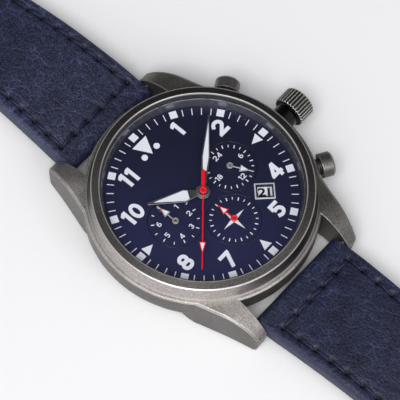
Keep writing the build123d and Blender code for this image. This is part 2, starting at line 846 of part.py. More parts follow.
def mid_case():
    body = turned([
        (0, case_base_z),
        (case_base_radius, case_base_z),
        (case_radius, case_side_z),
        (case_radius, shoulder_z - shoulder_chamfer),
        (case_radius - shoulder_chamfer, shoulder_z),
        (neck_radius, shoulder_z),
        (neck_radius, neck_top_z),
        (0, neck_top_z),
    ])
    first = lug()
    other = mirrored_y(first)
    body = body + first + other + mirrored_x(first) + mirrored_x(other)
    body -= disc(cavity_radius, 0, neck_top_z + overrun)
    body -= disc(thread_radius, 0, thread_top_z)
    body -= rod_x(crown_tube_radius, 0, case_radius + overrun, 0, crown_axis_z)
    for angle in pusher_angles():
        hole = rod_x(pusher_tube_radius, 0, case_radius + overrun)
        body -= pusher_place(angle) * hole
    hole_end = lug_gap / 2 + bar_tip_depth + bar_hole_extra
    for side in (-1, 1):
        body -= rod_x(bar_tip_radius + running_gap, -hole_end, hole_end, side * bar_y, bar_z)
    return body


def bezel():
    edge = bezel_edge_chamfer
    return turned([
        (neck_radius, shoulder_z),
        (bezel_foot_radius, shoulder_z),
        (bezel_rim_radius + edge, bezel_rim_z - edge),
        (bezel_rim_radius - edge, bezel_rim_z),
        (bezel_bore_radius + edge, bezel_crown_z),
        (bezel_bore_radius, bezel_crown_z - edge),
        (bezel_bore_radius, neck_top_z),
        (neck_radius, neck_top_z),
    ])


def crystal_radius():
    return bezel_bore_radius - crystal_gasket_wall


def crystal():
    radius = crystal_radius()
    inner = radius - crystal_bevel
    outline = [
        Line((0, neck_top_z), (radius, neck_top_z)),
        Line((radius, neck_top_z), (radius, crystal_edge_z - crystal_bevel)),
        Line((radius, crystal_edge_z - crystal_bevel), (inner, crystal_edge_z)),
        Spline((inner, crystal_edge_z), (0, crystal_edge_z + crystal_dome_height),
               tangents=[(-inner, 2 * crystal_dome_height), (-1, 0)]),
        Line((0, crystal_edge_z + crystal_dome_height), (0, neck_top_z)),
    ]
    return revolve(Plane.XZ * make_face(outline), Axis.Z)


def case_gaskets():
    """The crystal's gasket and the case back's, two rings."""
    upper = ring(bezel_bore_radius, crystal_radius(), neck_top_z, crystal_edge_z - crystal_bevel)
    lower = ring(back_seal_radius + back_seal_half, back_seal_radius - back_seal_half,
                 case_base_z - back_seal_half, case_base_z)
    return Compound(children=[upper, lower])


def rehaut_ring():
    return turned([
        (rehaut_foot_radius, dial_z),
        (cavity_radius, dial_z),
        (cavity_radius, neck_top_z),
        (rehaut_head_radius, neck_top_z),
    ])


def case_back():
    rim_outer = thread_radius
    rim_inner = thread_radius - back_rim_wall
    body = turned([
        (0, 0),
        (back_radius - back_edge_chamfer, 0),
        (back_radius, back_edge_chamfer),
        (back_radius, case_base_z),
        (rim_outer, case_base_z),
        (rim_outer, thread_top_z),
        (rim_inner, thread_top_z),
        (rim_inner, back_floor_z),
        (0, back_floor_z),
    ])
    body -= ring(back_seal_radius + back_seal_half, back_seal_radius - back_seal_half,
                 case_base_z - back_seal_half, case_base_z + overrun)
    for notch in range(back_notch_count):
        cut = block(-back_notch_length / 2, back_notch_length / 2,
                    -back_notch_width / 2, back_notch_width / 2, -overrun, back_notch_depth)
        body -= Rot(0, 0, 360 * notch / back_notch_count) * Pos(back_notch_radius, 0, 0) * cut
    return body


def movement_holder():
    body = ring(holder_radius, movement_radius + running_gap, holder_bottom_z, dial_z - dial_thickness)
    body -= rod_x(stem_radius + running_gap, 0, case_radius, 0, crown_axis_z)
    for angle in pusher_angles():
        body -= pusher_place(angle) * rod_x(pusher_pocket_radius, 0, case_radius)
    return body


def case_tubes():
    """The crown's tube with its collar, and both pushers' tubes."""
    crown_tube = rod_x(crown_tube_radius, crown_tube_root_x, crown_tube_end_x(), 0, crown_axis_z)
    crown_tube += rod_x(collar_radius, collar_start_x, collar_end_x, 0, crown_axis_z)
    crown_tube -= rod_x(crown_tube_bore, 0, crown_end_x(), 0, crown_axis_z)
    tubes = [crown_tube]
    for angle in pusher_angles():
        tube = rod_x(pusher_tube_radius, pusher_tube_start, pusher_tube_end())
        tube -= rod_x(pusher_stem_radius + running_gap, 0, case_radius + overrun)
        tubes.append(pusher_place(angle) * tube)
    return Compound(children=tubes)


# Dial

def subdial_centres():
    """Centres at 9, 3 and 6 o'clock."""
    return (clock(subdial_offset, 270), clock(subdial_offset, 90), clock(subdial_offset, 180))


def date_window(extra):
    """The window's block, larger by the given extra on each side, standing on the dial plane."""
    centre = clock(date_centre_radius, date_clock_angle)
    length = date_frame_length - 2 * date_frame_border + 2 * extra
    width = date_frame_width - 2 * date_frame_border + 2 * extra
    face = Rectangle(width, length)
    return Pos(centre[0], centre[1]) * Rot(0, 0, -date_clock_angle) * face


def dial():
    low_z = dial_z - dial_thickness
    body = disc(dial_radius, low_z, dial_z)
    body -= disc(dial_centre_hole, low_z - overrun, dial_z + overrun)
    for x, y in subdial_centres():
        body -= disc(subdial_radius, dial_z - subdial_depth, dial_z + overrun, x, y)
        body -= disc(arbor_hole, low_z - overrun, dial_z + overrun, x, y)
    body -= raised(date_window(0), low_z - overrun, dial_thickness + 2 * overrun)
    return body


def date_window_frame():
    face = date_window(date_frame_border) - date_window(0)
    return raised(face, dial_z, date_frame_height)


def dial_markers():
    """Hour squares, triangles, dots and numerals of raised pale paint."""
    pieces = []
    for hour in range(12):
        square = Pos(0, hour_square_radius) * Rectangle(hour_square_side, hour_square_side)
        pieces.append(Rot(0, 0, -30 * hour) * square)
    pieces.append(make_face(Polyline((-noon_half_width, noon_base_y), (noon_half_width, noon_base_y),
                                     (0, noon_apex_y), close=True)))
    for side in (-1, 1):
        pieces.append(Pos(side * noon_dot_x, noon_dot_y) * Circle(noon_dot_radius))
    for angle in (90, 180, 270):
        arrow = make_face(Polyline((-quarter_half_width, quarter_base_radius),
                                   (quarter_half_width, quarter_base_radius),
                                   (0, quarter_apex_radius), close=True))
        pieces.append(Rot(0, 0, -angle) * arrow)
    places = (
        ("11", -1, 1, "near"), ("1", 1, 1, "near"), ("7", -1, -1, "near"), ("5", 1, -1, "near"),
        ("10", -1, 1, "far"), ("2", 1, 1, "far"), ("8", -1, -1, "far"), ("4", 1, -1, "far"),
    )
    for text, side_x, side_y, row in places:
        shares = numeral_near_shares if row == "near" else numeral_far_shares
        x = shares[0] * minute_tick_inner
        y = shares[1] * minute_tick_inner
        if text == "10":
            x -= numeral_height / 4
        number = number_face(text, numeral_height, numeral_stroke, numeral_gap)
        pieces.append(Pos(side_x * x, side_y * y) * number)
    solids = []
    for piece in pieces:
        solids.extend(raised(piece, dial_z, marker_height).solids())
    return Compound(children=solids)


def tick(inner, outer, width):
    return Pos(0, (inner + outer) / 2) * Rectangle(width, outer - inner)


def star_face():
    """A plain four-pointed star."""
    points = []
    for corner in range(8):
        radius = star_arm if corner % 2 == 0 else star_waist
        points.append(polar(radius, 45 * corner))
    return make_face(Polyline(*points, close=True)) - Circle(small_hub_radius / 2)


def dial_printing():
    """Minute ticks, sub-dial ticks, small numerals and the star."""
    solids = []
    for minute in range(60):
        if minute % 5:
            mark = tick(minute_tick_inner, minute_tick_outer, minute_tick_width)
            solids.append(raised(Rot(0, 0, -6 * minute) * mark, dial_z, print_height))
    weekday_centre, day_centre, zone_centre = subdial_centres()
    floor_z = dial_z - subdial_depth

    def print_small(face, centre):
        for part_solid in raised(Pos(*centre) * face, floor_z, print_height).solids():
            solids.append(part_solid)

    def ticks(count, centre, turn):
        for step in range(count):
            long_tick = tick(tick_inner, tick_outer, tick_width)
            short_tick = tick(tick_short_inner, tick_outer, tick_short_width)
            mark = long_tick if step % 2 == 0 else short_tick
            print_small(Rot(0, 0, turn - 360 * step / count) * mark, centre)

    def number(text, angle, centre, radius):
        x, y = clock(radius, angle)
        face = number_face(text, small_numeral_height, small_numeral_stroke, small_numeral_gap)
        print_small(Pos(x, y) * face, centre)

    ticks(14, weekday_centre, 0)
    ticks(24, day_centre, 0)
    ticks(24, zone_centre, 0)
    for day in range(1, 8):
        number(str(day), day * 360 / 7, weekday_centre, small_numeral_radius)
    for text, angle in (("24", 0), ("6", 90), ("12", 180), ("18", 270)):
        number(text, angle, day_centre, small_numeral_radius)
    print_small(star_face(), zone_centre)
    return Compound(children=solids)


def date_disc():
    """The ring behind the window, with one inner tooth for each day."""
    low_z = date_disc_bottom_z
    high_z = low_z + date_disc_thickness
    body = ring(date_disc_outer, date_disc_inner, low_z, high_z)
    notch_half = 360 / date_teeth / 4
    for tooth in range(date_teeth):
        middle = 360 * tooth / date_teeth
        inner = date_disc_inner - thin_overrun
        outer = date_disc_inner + date_tooth_depth
        gap = flat([polar(inner, middle - notch_half), polar(outer, middle - notch_half / 2),
                    polar(outer, middle + notch_half / 2), polar(inner, middle + notch_half)],
                   low_z - overrun, high_z + overrun)
        body -= gap
    return body


# Hands, each drawn pointing to 12 and then turned to the time shown

def lance(hub, neck, belly_at, belly, length, tip):
    points = [
        (-neck, 0), (-neck, hub), (-belly, belly_at), (-tip, length),
        (tip, length), (belly, belly_at), (neck, hub), (neck, 0),
    ]
    return make_face(Polyline(*points, close=True)) + Circle(hub)


def inlay_face(start, belly_at, belly, end, length):
    """The pale filling, set back evenly from the hand's long edges."""
    inner_belly = belly - hand_frame_wall
    start_half = inner_belly * (1 - (belly_at - start) / belly_at)
    points = [(-start_half, start), (-inner_belly, belly_at), (0, end),
              (inner_belly, belly_at), (start_half, start)]
    return make_face(Polyline(*points, close=True))


def hour_faces():
    inlay = inlay_face(hour_inlay_start, hour_belly_radius, hour_belly_half, hour_inlay_end,
                       hour_length)
    frame = lance(hour_hub_radius, hour_neck_half, hour_belly_radius, hour_belly_half, hour_length,
                  hour_tip_half)
    return frame - inlay - Circle(hour_tube_radius), inlay


def minute_faces():
    inlay = inlay_face(minute_inlay_start, minute_belly_radius, minute_belly_half,
                       minute_inlay_end, minute_length)
    frame = lance(minute_hub_radius, minute_neck_half, minute_belly_radius, minute_belly_half,
                  minute_length, minute_tip_half)
    return frame - inlay - Circle(cannon_radius), inlay


def hour_hand():
    return turned_clock(raised(hour_faces()[0], hour_hand_z, hand_thickness), hour_angle)


def hour_inlay():
    solid = raised(hour_faces()[1], hour_hand_z + inlay_sink, hand_thickness - 2 * inlay_sink)
    return turned_clock(solid, hour_angle)


def minute_hand():
    return turned_clock(raised(minute_faces()[0], minute_hand_z, hand_thickness), minute_angle)


def minute_inlay():
    solid = raised(minute_faces()[1], minute_hand_z + inlay_sink, hand_thickness - 2 * inlay_sink)
    return turned_clock(solid, minute_angle)


def arrow_face(half, length, base, apex, arrow_half, wall):
    """A needle with an open arrow head on it."""
    needle = Pos(0, length / 2) * Rectangle(2 * half, length)
    head = make_face(Polyline((-arrow_half, base), (arrow_half, base), (0, apex), close=True))
    inner_base = base + wall
    inner_apex = apex - wall * (apex - base) / arrow_half
    inner_half = arrow_half * (inner_apex - inner_base) / (apex - base)
    opening = make_face(Polyline((-inner_half, inner_base), (inner_half, inner_base),
                                 (0, inner_apex), close=True))
    return (needle + head) - opening


def seconds_hand():
    face = arrow_face(seconds_half, seconds_length, seconds_arrow_base, seconds_arrow_apex,
                      seconds_arrow_half, small_arrow_wall)
    tail = make_face(Polyline(
        (-seconds_half, 0), (-seconds_tail_half, -seconds_hub_radius * 2),
        (-seconds_tail_half, -seconds_tail + seconds_tail_half), (0, -seconds_tail),
        (seconds_tail_half, -seconds_tail + seconds_tail_half),
        (seconds_tail_half, -seconds_hub_radius * 2), (seconds_half, 0), close=True))
    face = face + tail + Circle(seconds_hub_radius)
    body = raised(face, seconds_hand_z, seconds_thickness)
    body += disc(seconds_hub_radius, seconds_hand_z, seconds_hand_z + seconds_thickness + seconds_boss)
    body -= disc(arbor_radius, seconds_hand_z - overrun, seconds_hand_z + seconds_thickness)
    return turned_clock(body, seconds_angle)


def small_hand(length, base, apex, angle, centre):
    face = arrow_face(small_hand_half, length, base, apex, small_arrow_half, small_arrow_wall)
    face = face + Circle(small_hub_radius)
    body = raised(face, small_hand_z, small_hand_thickness)
    high_z = small_hand_z + 2 * small_hand_thickness
    body += disc(small_hub_radius, small_hand_z, high_z)
    body -= disc(arbor_hole - running_gap, small_hand_z - overrun, small_hand_z + small_hand_thickness)
    return turned_clock(body, angle, centre)


def weekday_hand():
    return small_hand(weekday_length, weekday_arrow_base, weekday_arrow_apex, weekday_angle,
                      subdial_centres()[0])


def day_hand():
    return small_hand(day_length, weekday_arrow_base, weekday_arrow_apex, day_angle,
                      subdial_centres()[1])


def zone_hand():
    return small_hand(zone_length, zone_arrow_base, zone_arrow_apex, zone_angle,
                      subdial_centres()[2])


# Places of the movement's axes

def train_distance():
    return pitch_radius(centre_teeth + third_pinion_teeth, train_module)


def third_module():
    """Module that puts the third wheel's teeth on the fourth pinion at the centre."""
    return 2 * train_distance() / (third_teeth + fourth_pinion_teeth)


def third_axis():
    return polar(train_distance(), third_direction)


def escape_axis():
    return polar(pitch_radius(fourth_teeth + escape_pinion_teeth, train_module), escape_direction)


def barrel_axis():
    return polar(pitch_radius(centre_pinion_teeth + barrel_teeth, barrel_module), barrel_direction)


def pallet_axis():
    x, y = escape_axis()
    step_x, step_y = polar(pallet_distance, balance_direction)
    return (x + step_x, y + step_y)


def balance_axis():
    x, y = escape_axis()
    step_x, step_y = polar(balance_distance, balance_direction)
    return (x + step_x, y + step_y)


def idler_distance():
    """The idler stands between 3 and 6 o'clock, as far from the centre as from both arbors."""
    return subdial_offset / sqrt(2)


def motion_module():
    return 2 * idler_distance() / (hour_wheel_teeth + idler_teeth)


def idler_pinion_module():
    return 2 * idler_distance() / (idler_pinion_teeth + day_teeth)


def minute_wheel_distance():
    return pitch_radius(minute_pinion_teeth + hour_wheel_teeth, motion_module())


def cannon_module():
    return 2 * minute_wheel_distance() / (cannon_teeth + minute_wheel_teeth)


def minute_wheel_axis():
    return polar(minute_wheel_distance(), minute_wheel_direction)


def idler_axis():
    return clock(idler_distance(), date_clock_angle)


def driver_axis():
    return polar(pitch_radius(hour_wheel_teeth + driver_teeth, motion_module()), driver_direction)


def ledge_inner():
    """The ledge under the date disc starts just outside the driver's teeth."""
    tip = pitch_radius(driver_teeth, motion_module()) + tooth_tip_module_share * motion_module()
    return hypot(*driver_axis()) + tip + ledge_gap


def cock_foot():
    return polar(cock_foot_ring, cock_foot_direction)


def stadium(start, end, half_width, low_z, high_z):
    """A plate with two round ends."""
    length = hypot(end[0] - start[0], end[1] - start[1])
    angle = degrees(atan2(end[1] - start[1], end[0] - start[0]))
    face = SlotCenterToCenter(length, 2 * half_width)
    middle = ((start[0] + end[0]) / 2, (start[1] + end[1]) / 2)
    return raised(Pos(*middle) * Rot(0, 0, angle) * face, low_z, high_z - low_z)


# Movement's fixed pieces

def train_pivots():
    """Axis and radius of each pivot that turns in the plate and the bridge."""
    return (
        (third_axis(), pivot_radius), (escape_axis(), pivot_radius),
        (barrel_axis(), barrel_arbor_radius), (pallet_axis(), pivot_radius),
        (balance_axis(), pivot_radius),
    )


def main_plate():
    body = disc(movement_radius, plate_bottom_z, plate_top_z)
    wall_inner = date_disc_outer + ledge_wall_gap
    body += ring(movement_radius, wall_inner, plate_top_z - thin_overrun, dial_z - dial_thickness)
    body += ring(wall_inner, ledge_inner(), plate_top_z - thin_overrun, date_disc_bottom_z - ledge_drop)
    body -= disc(centre_tube_radius + running_gap, plate_bottom_z - overrun, plate_top_z + overrun)
    body -= rod_x(stem_radius + running_gap, stem_inner_x - face_gap, movement_radius + overrun,
                  0, crown_axis_z)
    for (x, y), radius in train_pivots():
        body -= disc(radius + running_gap, plate_bottom_z - overrun, plate_bottom_z + pivot_depth(), x, y)
    dial_side = (minute_wheel_axis(), idler_axis(), driver_axis()) + subdial_centres()
    for x, y in dial_side:
        body -= disc(arbor_radius + running_gap, plate_top_z - pivot_depth(), plate_top_z + overrun, x, y)
    post_places = bridge_posts() + [cock_foot()]
    for x, y in post_places:
        body -= disc(screw_shank_radius, plate_bottom_z - overrun, plate_bottom_z + pivot_depth(), x, y)
    return body


def pivot_depth():
    """How deep pivots reach into plate and bridge."""
    return (bridge_top_z - bridge_bottom_z) / 2


def bridge_posts():
    return [polar(post_ring, angle) for angle in post_angles]


def pallet_bridge():
    """Small bridge that carries the fork's lower pivot, clear of the balance below it."""
    x, y = pallet_axis()
    high_z = pallet_bridge_z + pallet_bridge_thickness
    body = stadium((0, -pallet_post_reach), (0, pallet_post_reach), pallet_bridge_half,
                   pallet_bridge_z, high_z)
    for side in (-1, 1):
        body += disc(pallet_bridge_half, pallet_bridge_z, plate_bottom_z,
                     0, side * pallet_post_reach)
    body -= disc(pivot_radius + running_gap, pallet_bridge_z - overrun, high_z + overrun)
    return Pos(x, y, 0) * Rot(0, 0, balance_direction) * body


def train_bridge():
    """Bridge over the train, with the pallet fork's own small bridge beside it."""
    body = disc(bridge_radius, bridge_bottom_z, bridge_top_z)
    body -= disc(balance_radius + cock_gap, 0, plate_top_z, *balance_axis())
    body -= stadium(balance_axis(), cock_foot(), cock_half_width + 2 * cock_gap, 0, plate_top_z)
    for x, y in bridge_posts():
        body += disc(post_radius, bridge_bottom_z, plate_bottom_z, x, y)
    body += disc(rotor_post_radius, rotor_plate_z - face_gap, bridge_bottom_z)
    for x, y in bridge_posts():
        body -= disc(screw_shank_radius, 0, plate_top_z, x, y)
    body -= disc(screw_shank_radius, 0, bridge_bottom_z)
    body -= disc(arbor_radius + running_gap, bridge_top_z - pivot_depth(), bridge_top_z + overrun)
    for (x, y), radius in train_pivots()[:3]:
        body -= disc(radius + running_gap, bridge_top_z - pivot_depth(), bridge_top_z + overrun, x, y)
    return Compound(children=[body, pallet_bridge()])


def balance_cock():
    body = stadium(balance_axis(), cock_foot(), cock_half_width, bridge_bottom_z, bridge_top_z)
    body += disc(cock_half_width, bridge_bottom_z, plate_bottom_z, *cock_foot())
    body -= disc(screw_shank_radius, 0, plate_top_z, *cock_foot())
    body -= disc(pivot_radius + running_gap, bridge_top_z - pivot_depth(), bridge_top_z + overrun,
                 *balance_axis())
    return body


def slotted_screw(head, shank, low_z, head_height, top_z, x, y):
    body = disc(head, low_z, low_z + head_height, x, y) + disc(shank, low_z, top_z, x, y)
    slot = block(x - head - overrun, x + head + overrun, y - screw_slot / 2, y + screw_slot / 2,
                 low_z - overrun, low_z + head_height / 2)
    return body - slot


def movement_screws():
    """Bridge screws, the cock's screw and the rotor's screw."""
    screws = []
    low_z = bridge_bottom_z - screw_head_height
    for x, y in bridge_posts() + [cock_foot()]:
        screws.append(slotted_screw(screw_head_radius, screw_shank_radius, low_z,
                                    screw_head_height, plate_bottom_z + pivot_depth(), x, y))
    screws.append(slotted_screw(rotor_screw_radius, screw_shank_radius,
                                rotor_plate_z - face_gap - screw_head_height, screw_head_height,
                                bridge_bottom_z, 0, 0))
    return Compound(children=screws)


# Going train

def low_pivot_z():
    return bridge_top_z - pivot_depth() + face_gap


def high_pivot_z():
    return plate_bottom_z + pivot_depth() - face_gap


def train_phases():
    """Phase of each train gear so that all of them mesh at rest."""
    third_pinion = meshed_phase(third_direction, 0, centre_teeth, third_pinion_teeth)
    fourth_pinion = meshed_phase(third_direction + 180, 0, third_teeth, fourth_pinion_teeth)
    escape_pinion = meshed_phase(escape_direction, 0, fourth_teeth, escape_pinion_teeth)
    barrel = meshed_phase(barrel_direction, 0, centre_pinion_teeth, barrel_teeth)
    return third_pinion, fourth_pinion, escape_pinion, barrel


def centre_wheel():
    """Wheel, barrel pinion and the tube that carries the cannon pinion."""
    body = wheel(centre_teeth, train_module, centre_wheel_z, wheel_thickness,
                 2 * centre_tube_radius, 0, 0)
    pinion_low = centre_wheel_z + wheel_thickness
    body += pinion(centre_pinion_teeth, barrel_module, pinion_low,
                   barrel_top_z - face_gap - pinion_low, 0, 0)
    body += disc(centre_tube_radius, centre_wheel_z, lower_layer_z + layer_thickness)
    return body - disc(centre_tube_bore, 0, dial_z)


def cannon_pinion():
    """Pressed on the centre wheel's tube, it carries the minute hand."""
    body = pinion(cannon_teeth, cannon_module(), lower_layer_z, layer_thickness, 0, 0)
    body += disc(cannon_radius, lower_layer_z, minute_hand_z + hand_thickness)
    body -= disc(centre_tube_radius, 0, lower_layer_z + layer_thickness)
    return body - disc(centre_tube_bore, 0, seconds_hand_z)


def third_wheel():
    pinion_phase = train_phases()[0]
    x, y = third_axis()
    body = wheel(third_teeth, third_module(), third_wheel_z, wheel_thickness, 2 * spoke_width, 0, 0,
                 (x, y))
    body += pinion(third_pinion_teeth, train_module, third_wheel_z,
                   centre_wheel_z + pinion_height - third_wheel_z, 0, pinion_phase, (x, y))
    return body + disc(pivot_radius, low_pivot_z(), high_pivot_z(), x, y)


def fourth_wheel():
    """Turns once a minute and carries the seconds hand."""
    pinion_phase = train_phases()[1]
    body = wheel(fourth_teeth, train_module, fourth_wheel_z, wheel_thickness, 2 * spoke_width, 0, 0)
    body += pinion(fourth_pinion_teeth, third_module(), fourth_wheel_z,
                   centre_wheel_z - face_gap - fourth_wheel_z, 0, pinion_phase)
    return body + disc(arbor_radius, low_pivot_z(), seconds_hand_z + seconds_thickness)


def escape_wheel():
    x, y = escape_axis()
    pinion_phase = train_phases()[2]
    points = []
    pitch = 360 / escape_teeth
    for tooth in range(escape_teeth):
        middle = tooth * pitch
        points.append(polar(escape_root, middle))
        points.append(polar(escape_radius, middle + pitch / 3))
        points.append(polar(escape_radius, middle + pitch / 2))
        points.append(polar(escape_root, middle + pitch / 2))
    face = make_face(Polyline(*points, close=True))
    window = Circle(escape_root - rim_wall) - Circle(2 * spoke_width)
    for spoke in range(spoke_count):
        arm = Pos(escape_root / 2, 0) * Rectangle(escape_root, spoke_width)
        window -= Rot(0, 0, 360 * spoke / spoke_count) * arm
    body = Pos(x, y, escape_wheel_z) * extrude(face - window, wheel_thickness)
    body += pinion(escape_pinion_teeth, train_module, fourth_wheel_z - face_gap,
                   wheel_thickness + 2 * face_gap, 0, pinion_phase, (x, y))
    return body + disc(pivot_radius, low_pivot_z(), high_pivot_z(), x, y)


def barrel():
    """Toothed drum with its arbor, and the mainspring coiled inside it."""
    x, y = barrel_axis()
    phase = train_phases()[3]
    drum_radius = pitch_radius(barrel_teeth, barrel_module) - 2 * tooth_root_module_share * barrel_module
    drum = disc(drum_radius, barrel_bottom_z, barrel_top_z)
    drum += pinion(barrel_teeth, barrel_module, barrel_gear_z, wheel_thickness, 0, phase)
    drum -= disc(drum_radius - barrel_wall, barrel_bottom_z + barrel_wall, barrel_top_z - barrel_wall)
    drum += disc(barrel_arbor_radius, low_pivot_z(), high_pivot_z())
    room = barrel_top_z - barrel_bottom_z - 2 * barrel_wall
    spring = spiral(mainspring_inner, mainspring_pitch, mainspring_turns, mainspring_width,
                    barrel_bottom_z + barrel_wall + face_gap, room - 2 * face_gap)
    return Compound(children=[Pos(x, y, 0) * drum, Pos(x, y, 0) * spring])


def pallet_fork():
    """Lever with two stones at the escape wheel and a mouth at the balance's roller."""
    x, y = pallet_axis()
    low_z = escape_wheel_z
    stone_x = -pallet_distance + (escape_radius + running_gap) * cos(radians(stone_angle))
    stone_y = (escape_radius + running_gap) * sin(radians(stone_angle))
    face = Circle(fork_arm_width)
    for side in (-1, 1):
        arm = ribbon([(0, 0), (stone_x + stone_side, side * (stone_y + stone_side))], fork_arm_width)
        stone = Pos(stone_x + stone_side, side * (stone_y + stone_side / 2)) * Rectangle(
            stone_side, stone_side)
        face = face + arm + stone
    lever = Pos(fork_reach / 2, 0) * Rectangle(fork_reach, fork_arm_width)
    head = Pos(fork_reach - fork_mouth / 2, 0) * Rectangle(fork_mouth, 2 * fork_mouth)
    mouth = Pos(fork_reach, 0) * Rectangle(fork_mouth, fork_mouth * 0.6)
    face = face + lever + head - mouth
    body = raised(face, low_z, wheel_thickness)
    body += disc(pivot_radius, pallet_bridge_z, high_pivot_z())
    return Pos(x, y, 0) * Rot(0, 0, balance_direction) * body


def balance_wheel():
    """Rim on two arms, its staff, and the roller with its pin."""
    x, y = balance_axis()
    inner = balance_radius - balance_rim
    body = ring(balance_radius, inner, balance_rim_z, balance_rim_z + balance_rim_height)
    arm_z = balance_rim_z + balance_rim_height - wheel_thickness
    body += block(-inner - running_gap, inner + running_gap, -spoke_width / 2, spoke_width / 2,
                  arm_z, arm_z + wheel_thickness)
    body += disc(2 * spoke_width, balance_rim_z, balance_rim_z + balance_rim_height)
    for corner in range(4):
        screw_x, screw_y = polar(balance_radius - balance_rim / 2, 45 + 90 * corner)
        body += disc(balance_rim / 3, balance_rim_z - running_gap,
                     balance_rim_z + balance_rim_height + running_gap, screw_x, screw_y)
    body += disc(roller_radius, roller_z, roller_z + wheel_thickness)
    body += disc(roller_pin_radius, escape_wheel_z, roller_z, -roller_pin_offset, 0)
    body += disc(hairspring_inner - hairspring_width, hairspring_z, balance_rim_z + balance_rim_height)
    body += disc(pivot_radius, low_pivot_z(), high_pivot_z())
    return Pos(x, y, 0) * Rot(0, 0, balance_direction) * body


def hairspring():
    x, y = balance_axis()
    spring = spiral(hairspring_inner, hairspring_pitch, hairspring_turns, hairspring_width,
                    hairspring_z, hairspring_height)
    return Pos(x, y, 0) * spring


# Wheels under the dial

def motion_phases():
    """Phase of each gear under the dial so that all of them mesh at rest."""
    minute = meshed_phase(minute_wheel_direction, 0, cannon_teeth, minute_wheel_teeth)
    hour = meshed_phase(minute_wheel_direction + 180, 0, minute_pinion_teeth, hour_wheel_teeth)
    idler_way = 90 - date_clock_angle
    idler = meshed_phase(idler_way, hour, hour_wheel_teeth, idler_teeth)
    idler_x, idler_y = idler_axis()
    zone_x, zone_y = subdial_centres()[2]
    day_x, day_y = subdial_centres()[1]
    zone_way = degrees(atan2(zone_y - idler_y, zone_x - idler_x))
    day_way = degrees(atan2(day_y - idler_y, day_x - idler_x))
    zone = meshed_phase(zone_way, idler, idler_teeth, zone_teeth)
    day = meshed_phase(day_way, 0, idler_pinion_teeth, day_teeth)
    driver = meshed_phase(driver_direction, hour, hour_wheel_teeth, driver_teeth)
    return minute, hour, idler, zone, day, driver


def minute_wheel():
    x, y = minute_wheel_axis()
    body = wheel(minute_wheel_teeth, cannon_module(), lower_layer_z, layer_thickness,
                 2 * arbor_radius, 0, motion_phases()[0], (x, y))
    body += pinion(minute_pinion_teeth, motion_module(), lower_layer_z,
                   upper_layer_z + layer_thickness - lower_layer_z, 0, 0, (x, y))
    return body + disc(arbor_radius, plate_top_z - pivot_depth() + face_gap, lower_layer_z, x, y)


def hour_wheel():
    """Wheel with the tube that carries the hour hand."""
    body = pinion(hour_wheel_teeth, motion_module(), upper_layer_z, layer_thickness, 0,
                  motion_phases()[1])
    body += disc(hour_tube_radius, upper_layer_z, hour_hand_z + hand_thickness)
    return body - disc(cannon_radius + running_gap, 0, crystal_edge_z)


def subdial_idler():
    """Takes the hour wheel's motion to the sub-dials at 3 and 6 o'clock."""
    x, y = idler_axis()
    body = wheel(idler_teeth, motion_module(), upper_layer_z, layer_thickness, 2 * spoke_width, 0,
                 motion_phases()[2], (x, y))
    body += pinion(idler_pinion_teeth, idler_pinion_module(), lower_layer_z,
                   upper_layer_z - lower_layer_z, 0, 0, (x, y))
    return body + disc(arbor_radius, plate_top_z - pivot_depth() + face_gap, lower_layer_z, x, y)


def subdial_arbor(centre, low_z):
    """Arbor that carries a small hand, stepped down where it leaves the plate."""
    x, y = centre
    body = disc(arbor_radius, plate_top_z - pivot_depth() + face_gap, low_z, x, y)
    return body + disc(arbor_hole - running_gap, low_z, small_hand_z + small_hand_thickness, x, y)


def zone_wheel():
    centre = subdial_centres()[2]
    body = wheel(zone_teeth, motion_module(), upper_layer_z, layer_thickness, 2 * spoke_width, 0,
                 motion_phases()[3], centre)
    return body + subdial_arbor(centre, upper_layer_z)


def day_wheel():
    centre = subdial_centres()[1]
    body = wheel(day_teeth, idler_pinion_module(), lower_layer_z, layer_thickness, 2 * spoke_width, 0,
                 motion_phases()[4], centre)
    return body + subdial_arbor(centre, lower_layer_z)


def finger(length, direction, low_z, high_z):
    """A driving finger from an axis outwards."""
    face = Pos(length / 2, 0) * Rectangle(length, finger_width)
    return Rot(0, 0, direction) * raised(face, low_z, high_z - low_z)


def calendar_driver():
    """Turns once a day, with one finger for the date disc and one for the weekday star."""
    x, y = driver_axis()
    low_z = upper_layer_z
    body = wheel(driver_teeth, motion_module(), low_z, layer_thickness, 2 * spoke_width, 0,
                 motion_phases()[5])
    reach = date_disc_inner - hypot(x, y) - 2 * running_gap
    body += finger(reach, driver_direction, low_z + layer_thickness / 2,
                   date_disc_bottom_z + date_disc_thickness)
    star_x, star_y = subdial_centres()[0]
    star_gap = hypot(star_x - x, star_y - y) - star_radius - 2 * running_gap
    star_way = degrees(atan2(star_y - y, star_x - x))
    body += finger(star_gap, star_way, lower_layer_z, low_z + layer_thickness / 2)
    body += disc(arbor_radius, plate_top_z - pivot_depth() + face_gap, low_z)
    return Pos(x, y, 0) * body


def weekday_star():
    centre = subdial_centres()[0]
    points = []
    for tooth in range(weekday_teeth):
        pitch = 360 / weekday_teeth
        points.append(polar(star_radius, tooth * pitch))
        points.append(polar(star_radius - finger_width, (tooth + 1 / 2) * pitch))
    face = make_face(Polyline(*points, close=True))
    body = Pos(*centre, 0) * raised(face, lower_layer_z, layer_thickness)
    return body + subdial_arbor(centre, lower_layer_z)


